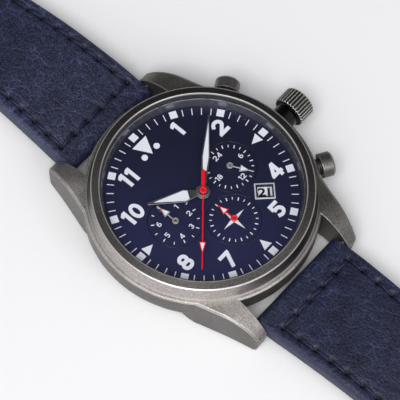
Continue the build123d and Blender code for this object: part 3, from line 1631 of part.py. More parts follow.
def rotor():
    """Half disc with a heavy rim, turning on the bridge's post."""
    high_z = rotor_plate_z + rotor_plate_thickness
    half = block(-rotor_radius, rotor_radius, 0, rotor_radius, 0, rotor_rim_top_z + overrun)
    plate = disc(rotor_radius, rotor_plate_z, high_z) & half
    rim = ring(rotor_radius, rotor_rim_inner, rotor_plate_z, rotor_rim_top_z) & half
    body = plate + rim + disc(rotor_hub_radius, rotor_plate_z, high_z)
    for side in (-1, 1):
        window = ring(rotor_rim_inner - spoke_width * 2, rotor_hub_radius * 2, 0, bridge_bottom_z)
        corner = polar(rotor_radius, 90 + side * 60)
        near = polar(rotor_radius, 90 + side * 15)
        wedge = flat([(0, 0), (corner[0] * 2, corner[1] * 2), (near[0] * 2, near[1] * 2)],
                     0, bridge_bottom_z)
        body -= window & wedge
    body -= disc(rotor_post_radius + running_gap, 0, bridge_bottom_z)
    return Rot(0, 0, rotor_angle) * body


# Crown, pushers and spring bars

def crown_tube_end_x():
    """The crown's gasket stays on the tube when the crown is pulled out."""
    seal_end = crown_inner_x + crown_seal_offset + crown_seal_length
    return seal_end + crown_travel + crown_end_gap


def crown_floor_x():
    return crown_tube_end_x() + crown_end_gap


def crown_end_x():
    return crown_floor_x() + crown_floor


def crown():
    """Ribbed cap with a bore that slides over its tube."""
    outline = [
        (crown_inner_x, 0), (crown_inner_x, crown_radius - crown_bevel / 2),
        (crown_inner_x + crown_bevel / 2, crown_radius), (crown_end_x() - crown_bevel, crown_radius),
        (crown_end_x(), crown_radius - crown_bevel), (crown_end_x(), 0),
    ]
    face = make_face(Polyline(*outline, close=True))
    body = revolve(face, Axis.X)
    reach = crown_radius + crown_groove_radius / 3
    for groove in range(crown_groove_count):
        y, z = polar(reach, 360 * groove / crown_groove_count)
        body -= rod_x(crown_groove_radius, crown_inner_x - overrun, crown_end_x() + overrun, y, z)
    body -= rod_x(crown_bore_radius, crown_inner_x - overrun, crown_floor_x())
    return Pos(0, 0, crown_axis_z) * body


def winding_stem():
    return rod_x(stem_radius, stem_inner_x, crown_floor_x(), 0, crown_axis_z)


def crown_gasket():
    start = crown_inner_x + crown_seal_offset
    body = rod_x(crown_bore_radius - running_gap, start, start + crown_seal_length, 0, crown_axis_z)
    return body - rod_x(crown_tube_radius + running_gap, 0, crown_end_x(), 0, crown_axis_z)


def pusher(angle):
    """Cap, stem and retaining clip of one pusher."""
    start = pusher_cap_start()
    end = pusher_cap_end()
    outline = [
        (start, 0), (start, pusher_cap_radius), (end - pusher_cap_chamfer, pusher_cap_radius),
        (end, pusher_cap_radius - pusher_cap_chamfer), (end, 0),
    ]
    cap = revolve(make_face(Polyline(*outline, close=True)), Axis.X)
    cap -= rod_x(pusher_recess_radius, start - overrun, pusher_recess_end())
    stem_start = movement_radius + pusher_travel + pusher_stem_gap
    cap += rod_x(pusher_stem_radius, stem_start, pusher_recess_end())
    clip_end = pusher_tube_start - pusher_clip_gap
    clip_end = min(clip_end, cavity_radius - pusher_clip_gap)
    clip = rod_x(pusher_clip_radius, clip_end - pusher_clip_thickness, clip_end)
    return pusher_place(angle) * (cap + clip)


def upper_pusher():
    return pusher(pusher_angles()[0])


def lower_pusher():
    return pusher(pusher_angles()[1])


def pusher_spring(angle):
    """Envelope of the return spring between tube and cap."""
    body = rod_x(pusher_spring_radius, pusher_tube_end(), pusher_recess_end())
    body -= rod_x(pusher_stem_radius + running_gap, 0, pusher_cap_end())
    return pusher_place(angle) * body


def upper_pusher_spring():
    return pusher_spring(pusher_angles()[0])


def lower_pusher_spring():
    return pusher_spring(pusher_angles()[1])


def bar_flange(side):
    """Shoulder of a spring bar's tip, outside the sleeve."""
    outer = lug_gap / 2 - bar_flange_gap
    start = outer - bar_flange_length
    if side > 0:
        return rod_x(bar_flange_radius, start, outer)
    return rod_x(bar_flange_radius, -outer, -start)


def spring_bar_sleeve():
    """Sleeve with its fixed tip at -X and a bore for the sprung tip at +X."""
    tip_end = lug_gap / 2 + bar_tip_depth
    body = rod_x(bar_sleeve_radius, -bar_sleeve_half, bar_sleeve_half)
    body += rod_x(bar_tip_radius, -tip_end, -bar_sleeve_half) + bar_flange(-1)
    bore_start = bar_tip_inner_x - bar_tip_travel - face_gap
    return body - rod_x(bar_tip_radius + running_gap, bore_start, bar_sleeve_half + overrun)


def spring_bar_tip():
    """The tip that a tool pushes in to take the strap off."""
    return rod_x(bar_tip_radius, bar_tip_inner_x, lug_gap / 2 + bar_tip_depth) + bar_flange(1)


def at_bar(shape, side):
    return Pos(0, side * bar_y, bar_z) * shape


def upper_spring_bar():
    return at_bar(spring_bar_sleeve(), 1)


def lower_spring_bar():
    return at_bar(spring_bar_sleeve(), -1)


def upper_spring_bar_tip():
    return at_bar(spring_bar_tip(), 1)


def lower_spring_bar_tip():
    return at_bar(spring_bar_tip(), -1)


# Strap

def strap_half_width():
    return lug_gap / 2 - strap_fit


def strap_side(flat_z, flat_half, end_y):
    """The strap seen from the side, between its two faces, from the bar to its end."""
    knee_z = flat_z + (strap_slope_z - flat_z) * strap_knee_share * (
        strap_flat_y - strap_knee_y) / (strap_flat_y - strap_slope_y)
    centres = [(bar_y, bar_z), (strap_rise_y, strap_rise_z), (strap_crest_y, strap_crest_z),
               (strap_slope_y, strap_slope_z), (strap_knee_y, knee_z), (strap_flat_y, flat_z)]
    halves = [strap_end_radius, strap_pad, strap_pad, strap_slope_half, strap_knee_half, flat_half]
    upper = [(y, z + half) for (y, z), half in zip(centres, halves)]
    lower = [(y, z - half) for (y, z), half in zip(centres, halves)]
    start_way = (1, 0)
    top = Spline(*upper, tangents=[start_way, start_way])
    bottom = Spline(*lower, tangents=[start_way, start_way])
    nose = ThreePointArc(upper[0], (bar_y - strap_end_radius, bar_z), lower[0])
    outline = [
        top, bottom, nose,
        Line(upper[-1], (end_y, flat_z + flat_half)),
        Line((end_y, flat_z + flat_half), (end_y, flat_z - flat_half)),
        Line((end_y, flat_z - flat_half), lower[-1]),
    ]
    side = make_face(outline)
    width = strap_half_width()
    return Pos(-width, 0, 0) * extrude(Plane.YZ * side, 2 * width)


def strap_plan(end):
    """The strap seen from above: straight, tapered, straight, then the points of its end."""
    wide = strap_half_width()
    right = [(wide, bar_y - 2 * strap_end_radius), (wide, strap_taper_start_y),
             (strap_tail_width / 2, strap_taper_end_y)] + end
    left = [(-x, y) for x, y in reversed(right)]
    face = make_face(Polyline(*(right + left), close=True))
    return extrude(face, crystal_edge_z)


def strap_bar_hole():
    width = strap_half_width() + overrun
    return rod_x(bar_sleeve_radius + strap_bar_gap, -width, width, bar_y, bar_z)


def strap_short():
    """Upper half of the strap, which ends at the buckle's bar."""
    end_y = short_end_y + short_flat_half
    flat_z = short_under_gap + short_flat_half
    body = strap_side(flat_z, short_flat_half, end_y)
    body &= strap_plan([(strap_tail_width / 2, end_y)])
    body -= strap_bar_hole()
    width = strap_half_width() + overrun
    body -= rod_x(buckle_bar_radius + strap_bar_gap, -width, width, short_end_y, flat_z)
    slot_start = short_end_y - tongue_slot_length
    body -= block(-tongue_slot_half, tongue_slot_half, slot_start, end_y + overrun, 0, crystal_edge_z)
    return body


def strap_long():
    """Lower half of the strap, with its point and the tongue's holes."""
    body = strap_side(long_flat_half, long_flat_half, long_end_y)
    body &= strap_plan([(strap_tail_width / 2, long_end_y - long_point_length),
                        (long_point_half, long_end_y)])
    body -= strap_bar_hole()
    for hole in range(tongue_hole_count):
        y = tongue_hole_first_y + hole * tongue_hole_pitch
        body -= disc(tongue_hole_radius, -overrun, crystal_edge_z, 0, y)
    return mirrored_y(body)


def keeper(start_y):
    """A leather loop around the strap, tall enough for the other half's end."""
    inner_half = strap_tail_width / 2 + keeper_side_gap
    strap_top = short_under_gap + 2 * short_flat_half
    low_z = short_under_gap - keeper_under_gap - keeper_wall
    high_z = strap_top + keeper_room + keeper_wall
    outer_half = inner_half + keeper_wall
    outline = Pos(0, (low_z + high_z) / 2) * RectangleRounded(
        2 * outer_half, high_z - low_z, keeper_wall)
    opening = Pos(0, (low_z + high_z) / 2) * Rectangle(
        2 * inner_half, high_z - low_z - 2 * keeper_wall)
    return Pos(0, start_y + keeper_length, 0) * extrude(Plane.XZ * (outline - opening), keeper_length)


def fixed_keeper():
    return keeper(fixed_keeper_y)


def free_keeper():
    return keeper(fixed_keeper_y - keeper_length - free_keeper_travel - keeper_gap)


# Buckle

def buckle_centre_z():
    return short_under_gap + short_flat_half


def buckle_inner_half():
    return strap_tail_width / 2 + buckle_side_gap


def buckle_frame():
    inner = buckle_inner_half()
    outer = inner + buckle_leg_width
    middle_z = buckle_centre_z()
    low_z = middle_z - buckle_height / 2
    front_y = short_end_y + buckle_length
    plan = Pos(0, (short_end_y - buckle_heel + front_y) / 2) * RectangleRounded(
        2 * outer, front_y - short_end_y + buckle_heel, buckle_leg_width / 2)
    inside_end = front_y - buckle_front_width
    inside = Pos(0, (short_end_y - 2 * buckle_heel + inside_end) / 2) * Rectangle(
        2 * inner, inside_end - short_end_y + 2 * buckle_heel)
    body = raised(plan - inside, low_z, buckle_height)
    front_top = middle_z + buckle_height / 2 - buckle_front_drop
    body -= block(-inner, inner, inside_end - thin_overrun, front_y + overrun,
                  front_top, middle_z + buckle_height)
    hole_end = inner + buckle_tip_depth + bar_hole_extra
    body -= rod_x(buckle_tip_radius + running_gap, -hole_end, hole_end, short_end_y, middle_z)
    return body


def buckle_bar():
    """Bar through the strap's end, its thin ends in the buckle's legs."""
    inner = buckle_inner_half()
    end = inner + buckle_tip_depth
    shoulder = inner - face_gap
    body = rod_x(buckle_bar_radius, -shoulder, shoulder, short_end_y, buckle_centre_z())
    return body + rod_x(buckle_tip_radius, -end, end, short_end_y, buckle_centre_z())


def buckle_tongue():
    middle_z = buckle_centre_z()
    front_top = middle_z + buckle_height / 2 - buckle_front_drop
    low_z = front_top + tongue_lift
    high_z = low_z + tongue_thickness
    front_y = short_end_y + buckle_length
    tip_y = front_y + tongue_overhang - buckle_front_width / 2
    loop = rod_x(tongue_ring_radius, -tongue_half, tongue_half, short_end_y, middle_z)
    rise_y = short_end_y + tongue_ring_radius * 2
    side = [
        (short_end_y, middle_z), (short_end_y, middle_z + tongue_ring_radius),
        (rise_y, high_z), (tip_y - tongue_thickness, high_z), (tip_y, low_z + tongue_thickness / 3),
        (tip_y, low_z), (rise_y, low_z), (short_end_y + tongue_ring_radius, middle_z),
    ]
    outline = make_face(Polyline(*side, close=True))
    arm = Pos(-tongue_half, 0, 0) * extrude(Plane.YZ * outline, 2 * tongue_half)
    body = loop + arm
    hole = rod_x(buckle_bar_radius + strap_bar_gap, -overrun, overrun, short_end_y, middle_z)
    return body - hole


nodes = {
    "mid_case": mid_case, "bezel": bezel, "crystal": crystal, "case_gaskets": case_gaskets,
    "rehaut_ring": rehaut_ring, "case_back": case_back, "movement_holder": movement_holder,
    "case_tubes": case_tubes, "dial": dial, "date_window_frame": date_window_frame,
    "dial_markers": dial_markers, "dial_printing": dial_printing, "date_disc": date_disc,
    "hour_hand": hour_hand, "hour_inlay": hour_inlay, "minute_hand": minute_hand,
    "minute_inlay": minute_inlay, "seconds_hand": seconds_hand, "weekday_hand": weekday_hand,
    "day_hand": day_hand, "zone_hand": zone_hand, "main_plate": main_plate,
    "train_bridge": train_bridge, "balance_cock": balance_cock, "movement_screws": movement_screws,
    "centre_wheel": centre_wheel, "cannon_pinion": cannon_pinion, "third_wheel": third_wheel,
    "fourth_wheel": fourth_wheel, "escape_wheel": escape_wheel, "barrel": barrel,
    "pallet_fork": pallet_fork, "balance_wheel": balance_wheel, "hairspring": hairspring,
    "minute_wheel": minute_wheel, "hour_wheel": hour_wheel, "subdial_idler": subdial_idler,
    "zone_wheel": zone_wheel, "day_wheel": day_wheel, "calendar_driver": calendar_driver,
    "weekday_star": weekday_star, "rotor": rotor, "crown": crown, "winding_stem": winding_stem,
    "crown_gasket": crown_gasket, "upper_pusher": upper_pusher, "lower_pusher": lower_pusher,
    "upper_pusher_spring": upper_pusher_spring, "lower_pusher_spring": lower_pusher_spring,
    "upper_spring_bar": upper_spring_bar, "lower_spring_bar": lower_spring_bar,
    "upper_spring_bar_tip": upper_spring_bar_tip, "lower_spring_bar_tip": lower_spring_bar_tip,
    "strap_short": strap_short, "strap_long": strap_long, "fixed_keeper": fixed_keeper,
    "free_keeper": free_keeper, "buckle_frame": buckle_frame, "buckle_bar": buckle_bar,
    "buckle_tongue": buckle_tongue,
}

os.makedirs("parts", exist_ok=True)
for name, make in nodes.items():
    export_step(make(), f"parts/{name}.step")
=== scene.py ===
"""A pilot's wristwatch on a pale studio floor: finishes for its metal pieces, and its leather,
thread, date numbers and hand fillings as modelled meshes. Lengths are written in millimetres."""

from math import atan2, cos, hypot, pi, radians, sin, sqrt

import bpy
import numpy as np
from mathutils import Matrix, Vector, noise


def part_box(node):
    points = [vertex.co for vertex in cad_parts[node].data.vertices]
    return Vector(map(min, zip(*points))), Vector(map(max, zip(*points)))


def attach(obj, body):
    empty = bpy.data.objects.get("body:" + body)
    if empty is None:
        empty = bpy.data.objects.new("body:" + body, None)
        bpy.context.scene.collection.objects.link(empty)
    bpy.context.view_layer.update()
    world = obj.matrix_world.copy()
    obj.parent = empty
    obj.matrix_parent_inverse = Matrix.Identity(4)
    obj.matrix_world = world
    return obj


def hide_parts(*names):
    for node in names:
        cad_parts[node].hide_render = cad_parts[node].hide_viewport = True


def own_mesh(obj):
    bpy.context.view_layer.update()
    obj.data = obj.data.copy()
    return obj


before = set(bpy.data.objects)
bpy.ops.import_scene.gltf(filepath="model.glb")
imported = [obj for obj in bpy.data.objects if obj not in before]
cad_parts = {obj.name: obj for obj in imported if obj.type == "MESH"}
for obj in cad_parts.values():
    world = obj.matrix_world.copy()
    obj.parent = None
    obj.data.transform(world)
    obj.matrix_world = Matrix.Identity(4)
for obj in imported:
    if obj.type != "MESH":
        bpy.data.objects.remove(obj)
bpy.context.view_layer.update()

bl_info = {
    "name": "Pilot Watch",
    "version": (1, 0, 0),
    "blender": (4, 5, 0),
    "location": "View3D > Sidebar > Pilot Watch",
    "description": "Finishes, strap, thread, printing and studio for a pilot's wristwatch",
    "category": "Object",
}

MM = 0.001


def low(node):
    """A node's lowest corner, in millimetres."""
    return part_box(node)[0] / MM


def high(node):
    """A node's highest corner, in millimetres."""
    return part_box(node)[1] / MM


# Places read from the frame
dial_top = high("dial").z
bar_y = (low("upper_spring_bar").y + high("upper_spring_bar").y) / 2
bar_z = (low("upper_spring_bar").z + high("upper_spring_bar").z) / 2
buckle_bar_y = (low("buckle_bar").y + high("buckle_bar").y) / 2
strap_half_width = high("strap_short").x
strap_nose = bar_y - low("strap_short").y
long_end = -low("strap_long").y
bezel_foot = high("bezel").x

# Sizes that the solids have and their boxes don't give, in millimetres and degrees
tail_half_width = 9.0
taper_shares = (0.04, 0.62667)      # where the strap's taper starts and ends between its bars
bezel_bore = 18.0
bezel_band = 19.5                   # radius where the flat band meets the slope
subdial_centre_radius = 7.2
subdial_radius = 4.85
date_radius = 10.86
date_angle = 135.0
window_length = 3.63
window_width = 3.02
window_border = 0.48
tongue_hole_first = 92.0
tongue_hole_pitch = 6.5
tongue_hole_count = 7
tongue_hole_radius = 1.0

painted_light_way = (-0.9, -0.35, 0.0)    # towards the lower left, the side that is painted as lit; painted light and shade follow it


# Settings that a user would change

class StrapSettings(bpy.types.PropertyGroup):
    leather: bpy.props.FloatVectorProperty(
        name="Leather", description="Colour of the strap's upper leather", subtype="COLOR",
        default=(0.0075, 0.0094, 0.026))
    rubbed: bpy.props.FloatVectorProperty(
        name="Rubbed Leather", description="Colour where the leather is rubbed or pulled",
        subtype="COLOR", default=(0.086, 0.098, 0.195))
    lining: bpy.props.FloatVectorProperty(
        name="Lining", description="Colour of the lining leather", subtype="COLOR",
        default=(0.022, 0.02, 0.024))
    thread: bpy.props.FloatVectorProperty(
        name="Thread", description="Colour of the sewing thread", subtype="COLOR",
        default=(0.0012, 0.004, 0.03))
    stitch_pitch: bpy.props.FloatProperty(
        name="Stitch Pitch", description="Distance between two needle holes", default=3.35 * MM,
        unit="LENGTH")
    stitch_inset: bpy.props.FloatProperty(
        name="Stitch Inset", description="From the strap's edge to the row of stitches",
        default=2.1 * MM, unit="LENGTH")
    thread_diameter: bpy.props.FloatProperty(
        name="Thread Diameter", description="Diameter of the sewing thread", default=0.5 * MM,
        unit="LENGTH")
    edge_rounding: bpy.props.FloatProperty(
        name="Edge Rounding", description="Radius of the strap's rounded upper edge",
        default=0.85 * MM, unit="LENGTH")


class MetalSettings(bpy.types.PropertyGroup):
    case_tone: bpy.props.FloatVectorProperty(
        name="Case", description="Colour of the blasted case", subtype="COLOR",
        default=(0.43, 0.4, 0.38))
    bezel_tone: bpy.props.FloatVectorProperty(
        name="Bezel", description="Colour of the bezel's slope", subtype="COLOR",
        default=(0.33, 0.305, 0.295))
    crown_tone: bpy.props.FloatVectorProperty(
        name="Crown", description="Colour of the dark crown", subtype="COLOR",
        default=(0.075, 0.072, 0.07))
    grain: bpy.props.FloatProperty(
        name="Grain Size", description="Size of one dimple of the blasted finish",
        default=0.16 * MM, unit="LENGTH")
    edge_wear: bpy.props.FloatProperty(
        name="Edge Wear", description="Width of the bright line along worn edges",
        default=0.2 * MM, unit="LENGTH")


class DialSettings(bpy.types.PropertyGroup):
    lacquer: bpy.props.FloatVectorProperty(
        name="Lacquer", description="Colour of the dial", subtype="COLOR",
        default=(0.0145, 0.0165, 0.058))
    paint: bpy.props.FloatVectorProperty(
        name="Luminous Paint", description="Colour of the markers and the hands' fillings",
        subtype="COLOR", default=(0.8, 0.8, 0.8))
    red: bpy.props.FloatVectorProperty(
        name="Red", description="Colour of the seconds hand", subtype="COLOR",
        default=(0.83, 0.012, 0.022))
    date_shown: bpy.props.IntProperty(
        name="Date", description="Day of the month in the window", default=21, min=1, max=31)


class StudioSettings(bpy.types.PropertyGroup):
    lens: bpy.props.FloatProperty(
        name="Lens", description="Focal length on a 36 mm sensor, in millimetres", default=225.0)
    distance: bpy.props.FloatProperty(
        name="Camera Distance", description="From the aim point to the camera",
        default=435.2 * MM, unit="LENGTH")
    azimuth: bpy.props.FloatProperty(
        name="Azimuth", description="Camera's heading, 0 along +Y", default=radians(-53.3),
        subtype="ANGLE")
    elevation: bpy.props.FloatProperty(
        name="Elevation", description="Camera's height over the floor", default=radians(64.58),
        subtype="ANGLE")
    roll: bpy.props.FloatProperty(
        name="Roll", description="Camera's turn about its own axis", default=radians(4.99),
        subtype="ANGLE")
    floor: bpy.props.FloatVectorProperty(
        name="Floor", description="Colour of the studio floor", subtype="COLOR",
        default=(0.86, 0.86, 0.87))


def settings(group):
    """The scene's settings of one group."""
    return getattr(bpy.context.scene, group)


# Shader maths

class Value:
    """A socket that adds its own Math nodes when it is used in an expression."""

    def __init__(self, finish, socket):
        self.finish = finish
        self.socket = socket

    def maths(self, operation, *values):
        return self.finish.node("ShaderNodeMath", {"operation": operation}, dict(enumerate(values)))

    def at_most(self, other):
        return self.maths("MINIMUM", self, other)

    def at_least(self, other):
        return self.maths("MAXIMUM", self, other)

    def __abs__(self):
        return self.maths("ABSOLUTE", self)

    def __add__(self, other):
        return self.maths("ADD", self, other)

    def __radd__(self, other):
        return self.maths("ADD", other, self)

    def __sub__(self, other):
        return self.maths("SUBTRACT", self, other)

    def __rsub__(self, other):
        return self.maths("SUBTRACT", other, self)

    def __mul__(self, other):
        return self.maths("MULTIPLY", self, other)

    def __rmul__(self, other):
        return self.maths("MULTIPLY", other, self)

    def __truediv__(self, other):
        return self.maths("DIVIDE", self, other)

    def __rtruediv__(self, other):
        return self.maths("DIVIDE", other, self)

    def __pow__(self, other):
        return self.maths("POWER", self, other)

    def __rpow__(self, other):
        return self.maths("POWER", other, self)

    def step(self, start, end):
        """0 before start and 1 after end, with a smooth way between them."""
        way = {"interpolation_type": "SMOOTHSTEP"}
        inputs = {"Value": self, "From Min": start, "From Max": end}
        return self.finish.node("ShaderNodeMapRange", way, inputs)


class Finish:
    """One material, or the world, with its node tree and its main shader."""

    def __init__(self, name, owner=None):
        self.material = owner or bpy.data.materials.new(name)
        self.material.use_nodes = True
        self.tree = self.material.node_tree
        self.shader = self.tree.nodes.get("Principled BSDF") or self.tree.nodes["Background"]

    def node(self, kind, options=None, inputs=None, output=0):
        """Adds a node: its options first, then the values or links of its sockets."""
        made = self.tree.nodes.new(kind)
        for name, value in (options or {}).items():
            setattr(made, name, value)
        for name, value in (inputs or {}).items():
            self.feed(made.inputs[name], value)
        return Value(self, made.outputs[output])

    def feed(self, socket, value):
        """Links a value to a socket, or sets a constant on it."""
        if isinstance(value, Value):
            self.tree.links.new(value.socket, socket)
        elif socket.type == "RGBA":
            socket.default_value = (*value, 1.0)
        else:
            socket.default_value = value

    def place(self):
        """Position on the piece at rest, in millimetres."""
        spot = self.node("ShaderNodeTexCoord", output="Object")
        return self.scaled(spot, (1 / MM, 1 / MM, 1 / MM))

    def vector(self, operation, *values, output=0):
        """Vector maths on vectors or links."""
        return self.node("ShaderNodeVectorMath", {"operation": operation}, dict(enumerate(values)),
                         output)

    def scaled(self, vector, factors):
        return self.vector("MULTIPLY", vector, factors)

    def dot(self, first, second):
        return self.vector("DOT_PRODUCT", first, second, output="Value")

    def facing_up(self, normal=None):
        """How far a normal points up; the face's own normal unless another is given."""
        return self.part_of(normal or self.node("ShaderNodeNewGeometry", output="Normal"), 2)

    def painted(self, name):
        """Reads a value that the mesh holds at its points."""
        return self.node("ShaderNodeAttribute", {"attribute_name": name}, output="Fac")

    def off_axis(self, place):
        """Distance from the upright axis through the dial's centre."""
        x, y = self.part_of(place, 0), self.part_of(place, 1)
        return (x * x + y * y) ** 0.5

    def part_of(self, vector, axis):
        """A vector's part along x, y or z, by number."""
        return self.node("ShaderNodeSeparateXYZ", None, {0: vector}, output=axis)

    def noise(self, place, size, detail=3.0, roughness=0.55):
        """Cloudy value between 0 and 1 whose features have that size."""
        inputs = {"Vector": place, "Scale": 1 / size, "Detail": detail, "Roughness": roughness}
        return self.node("ShaderNodeTexNoise", None, inputs)

    def cells(self, place, size, feature="F1"):
        """Value over cells of that size: 0 at a cell's centre, or at its border if so asked."""
        return self.node("ShaderNodeTexVoronoi", {"feature": feature},
                         {"Vector": place, "Scale": 1 / size})

    def mix(self, first, second, share):
        """Mixes two colours, the second by its share."""
        return self.node("ShaderNodeMix", {"data_type": "RGBA"}, {0: share, 6: first, 7: second},
                         output=2)

    def bump(self, height, depth, strength=1.0, normal=None):
        """A bump whose full height is depth, in millimetres."""
        inputs = {"Height": height, "Distance": depth * MM, "Strength": strength}
        if normal is not None:
            inputs["Normal"] = normal
        return self.node("ShaderNodeBump", None, inputs)

    def rounded(self, width):
        """The normal as if every edge were rounded over that width."""
        return self.node("ShaderNodeBevel", {"samples": 8}, {"Radius": width})

    def edges(self, soft):
        """1 on sharp edges, falling to 0 away from them, from the rounded normal."""
        sharp = self.node("ShaderNodeNewGeometry", output="Normal")
        return (1.0 - self.dot(soft, sharp)).step(0.0008, 0.025)

    def surface(self, **values):
        """Sets the Principled shader's sockets by name, with _ for a space."""
        sockets = {socket.name.lower(): socket for socket in self.shader.inputs}
        for name, value in values.items():
            self.feed(sockets[name.replace("_", " ")], value)
        return self.material


def tint(tone, factor):
    """A colour made darker or lighter."""
    return tuple(min(factor * channel, 1.0) for channel in tone)


def blasted_metal(name, tone, bright=0.62, roughness=0.42, bump_depth=0.024, dark=0.3):
    """Bead-blasted steel: fine dimples, cloudy tarnish, bright lines on rubbed edges that carry a painted
    highlight, brighter towards the lower left. Faces that look up and lie towards the lower left are
    painted lit; upright faces and faces away from it get painted shade, the tone times dark."""
    options = settings("watch_metal")
    finish = Finish(name)
    place = finish.place()
    grain_size, fleck_size = options.grain / MM, options.grain / MM * 1.6
    cloud = finish.noise(place, 5.0, detail=5.0, roughness=0.65)
    fleck = finish.noise(place, fleck_size, detail=2.0, roughness=0.7)
    dimple = finish.noise(place, grain_size, detail=2.0, roughness=0.6)
    soft = finish.rounded(options.edge_wear)
    worn_and_highlit = finish.edges(soft) * finish.facing_up(soft).step(0.1, 0.4)
    up = finish.facing_up().step(0.3, 0.85)
    side = finish.dot(place, painted_light_way).step(-8.0, 16.0)
    grain = cloud.step(0.3, 0.72) * 0.4 + fleck.step(0.34, 0.68) * 0.6
    # Painted light and shade: a lit and a shaded copy of the grained tone; faces that look up and lie
    # towards the lower left get the lit one
    light = finish.mix(tint(tone, 0.6), tint(tone, 1.5), grain)
    shaded_tone = finish.mix(tint(tone, 0.6 * dark), tint(tone, 1.5 * dark), grain)
    body = finish.mix(shaded_tone, light, up * side)
    # Bright lines on edges that face up: rubbed steel with a painted highlight, stronger on the painted
    # lit side
    rubbed = (bright, bright * 0.97, bright * 0.94)
    base = finish.mix(body, rubbed, worn_and_highlit * (0.35 + 0.35 * side))
    rough = roughness + (cloud - 0.5) * 0.18 - worn_and_highlit * 0.1
    return finish.surface(base_color=base, metallic=0.76 - worn_and_highlit * 0.4, roughness=rough,
                          normal=finish.bump(dimple, bump_depth, normal=soft))


def bezel_metal(tone):
    """Turned and blasted bezel: a dark flat band and a slope, both with painted light and shade by side,
    between bright rims that are rubbed edges with painted highlights.
    """
    finish = Finish("bezel_blasted_steel")
    place = finish.place()
    radius = finish.off_axis(place)
    options = settings("watch_metal")
    grain_size, fleck_size = options.grain / MM, options.grain / MM * 1.6
    fleck = finish.noise(place, fleck_size, detail=2.0, roughness=0.75)
    dimple = finish.noise(place, grain_size, detail=2.0, roughness=0.6)
    cloud = finish.noise(place, 4.0, detail=4.0, roughness=0.65)
    soft = finish.rounded(options.edge_wear * 0.6)
    # Painted light and shade by side: the slope painted lit towards the lower left and shaded away from
    # it, the band painted lighter and darker along the same way
    side = finish.dot(place, painted_light_way)
    far_tone = finish.mix(tint(tone, 0.42), tint(tone, 0.57), side.step(-9.0, 5.0))
    flat_tone = finish.mix(far_tone, tint(tone, 0.28), side.step(5.0, 17.0))
    slope_tone = finish.mix(tint(tone, 0.2), tint(tone, 1.85), side.step(4.0, 18.0))
    body = finish.mix(flat_tone, slope_tone, radius.step(bezel_band - 0.05, bezel_band + 0.02))
    grained = finish.mix(finish.mix(body, (0.0, 0.0, 0.0), 0.45), body, fleck.step(0.32, 0.66))
    # Painted highlights, partly rubbed edges: bright lines at the band's rim, at the foot and at the
    # inner edge
    wavy = radius + (cloud - 0.5) * 0.05
    rim = 1.0 - abs(wavy - bezel_band).step(0.05, 0.13)
    foot = radius.step(bezel_foot - 0.16, bezel_foot - 0.08)
    inner = 1.0 - wavy.step(bezel_bore + 0.14, bezel_bore + 0.24)
    line = foot.at_least(inner).at_least(rim) * (0.65 + fleck * 0.35)
    base = finish.mix(grained, (0.52, 0.51, 0.5), line)
    rough = 0.4 + (cloud - 0.5) * 0.15 - line * 0.1
    return finish.surface(base_color=base, metallic=1.0 - line * 0.6, roughness=rough,
                          normal=finish.bump(dimple, 0.012, normal=soft))


# Factors on x, y and z that draw a noise out into lines along one axis, or along none
along_x, along_y, even = (0.06, 1.0, 1.0), (1.0, 0.06, 1.0), (1.0, 1.0, 1.0)


def brushed_metal(name, tone, stretch, roughness=0.32, bright=0.7, wear_and_highlight=0.5, metallic=1.0):
    """Steel with fine lines along the axis whose factor in stretch is the smallest."""
    finish = Finish(name)
    place = finish.place()
    lines = finish.noise(finish.scaled(place, stretch), 0.11, detail=3.0, roughness=0.7)
    cloud = finish.noise(place, 3.0, detail=3.0)
    soft = finish.rounded(settings("watch_metal").edge_wear * 0.7)
    # Bright lines along the edges, by the share given: rubbed steel with a painted highlight
    worn_and_highlit = finish.edges(soft)
    body = finish.mix(tint(tone, 0.7), tint(tone, 1.3), lines.step(0.3, 0.7))
    base = finish.mix(body, (bright, bright * 0.98, bright * 0.95), worn_and_highlit * wear_and_highlight)
    rough = roughness + (lines - 0.5) * 0.2 + (cloud - 0.5) * 0.12
    return finish.surface(base_color=base, metallic=metallic, roughness=rough,
                          normal=finish.bump(lines, 0.006, normal=soft))


def turned_metal(name, tone, ring=0.09, roughness=0.26):
    """Metal with fine rings about the upright axis, as a lathe leaves them."""
    finish = Finish(name)
    place = finish.place()
    lines = finish.node("ShaderNodeTexNoise", {"noise_dimensions": "1D"},
                        {"W": finish.off_axis(place) / ring, "Scale": 1.0, "Detail": 2.0})
    cloud = finish.noise(place, 1.4, detail=3.0)
    base = finish.mix(tint(tone, 0.78), tone, lines.step(0.3, 0.7) * 0.7 + cloud * 0.3)
    rough = roughness + (lines - 0.5) * 0.16
    return finish.surface(base_color=base, metallic=1.0, roughness=rough,
                          normal=finish.bump(lines, 0.004))


def pearled_metal(name, tone):
    """Movement plates: overlapping round polishing marks."""
    finish = Finish(name)
    place = finish.place()
    spot_size, swirl_size = 1.1, 0.14
    spot = finish.cells(place, spot_size)
    swirl = finish.noise(place, swirl_size, detail=2.0)
    base = finish.mix(tint(tone, 0.7), tone, spot.step(0.05, 0.6))
    return finish.surface(base_color=base, metallic=1.0, roughness=0.3 + spot * 0.2,
                          normal=finish.bump(spot * 0.7 + swirl * 0.3, 0.01))


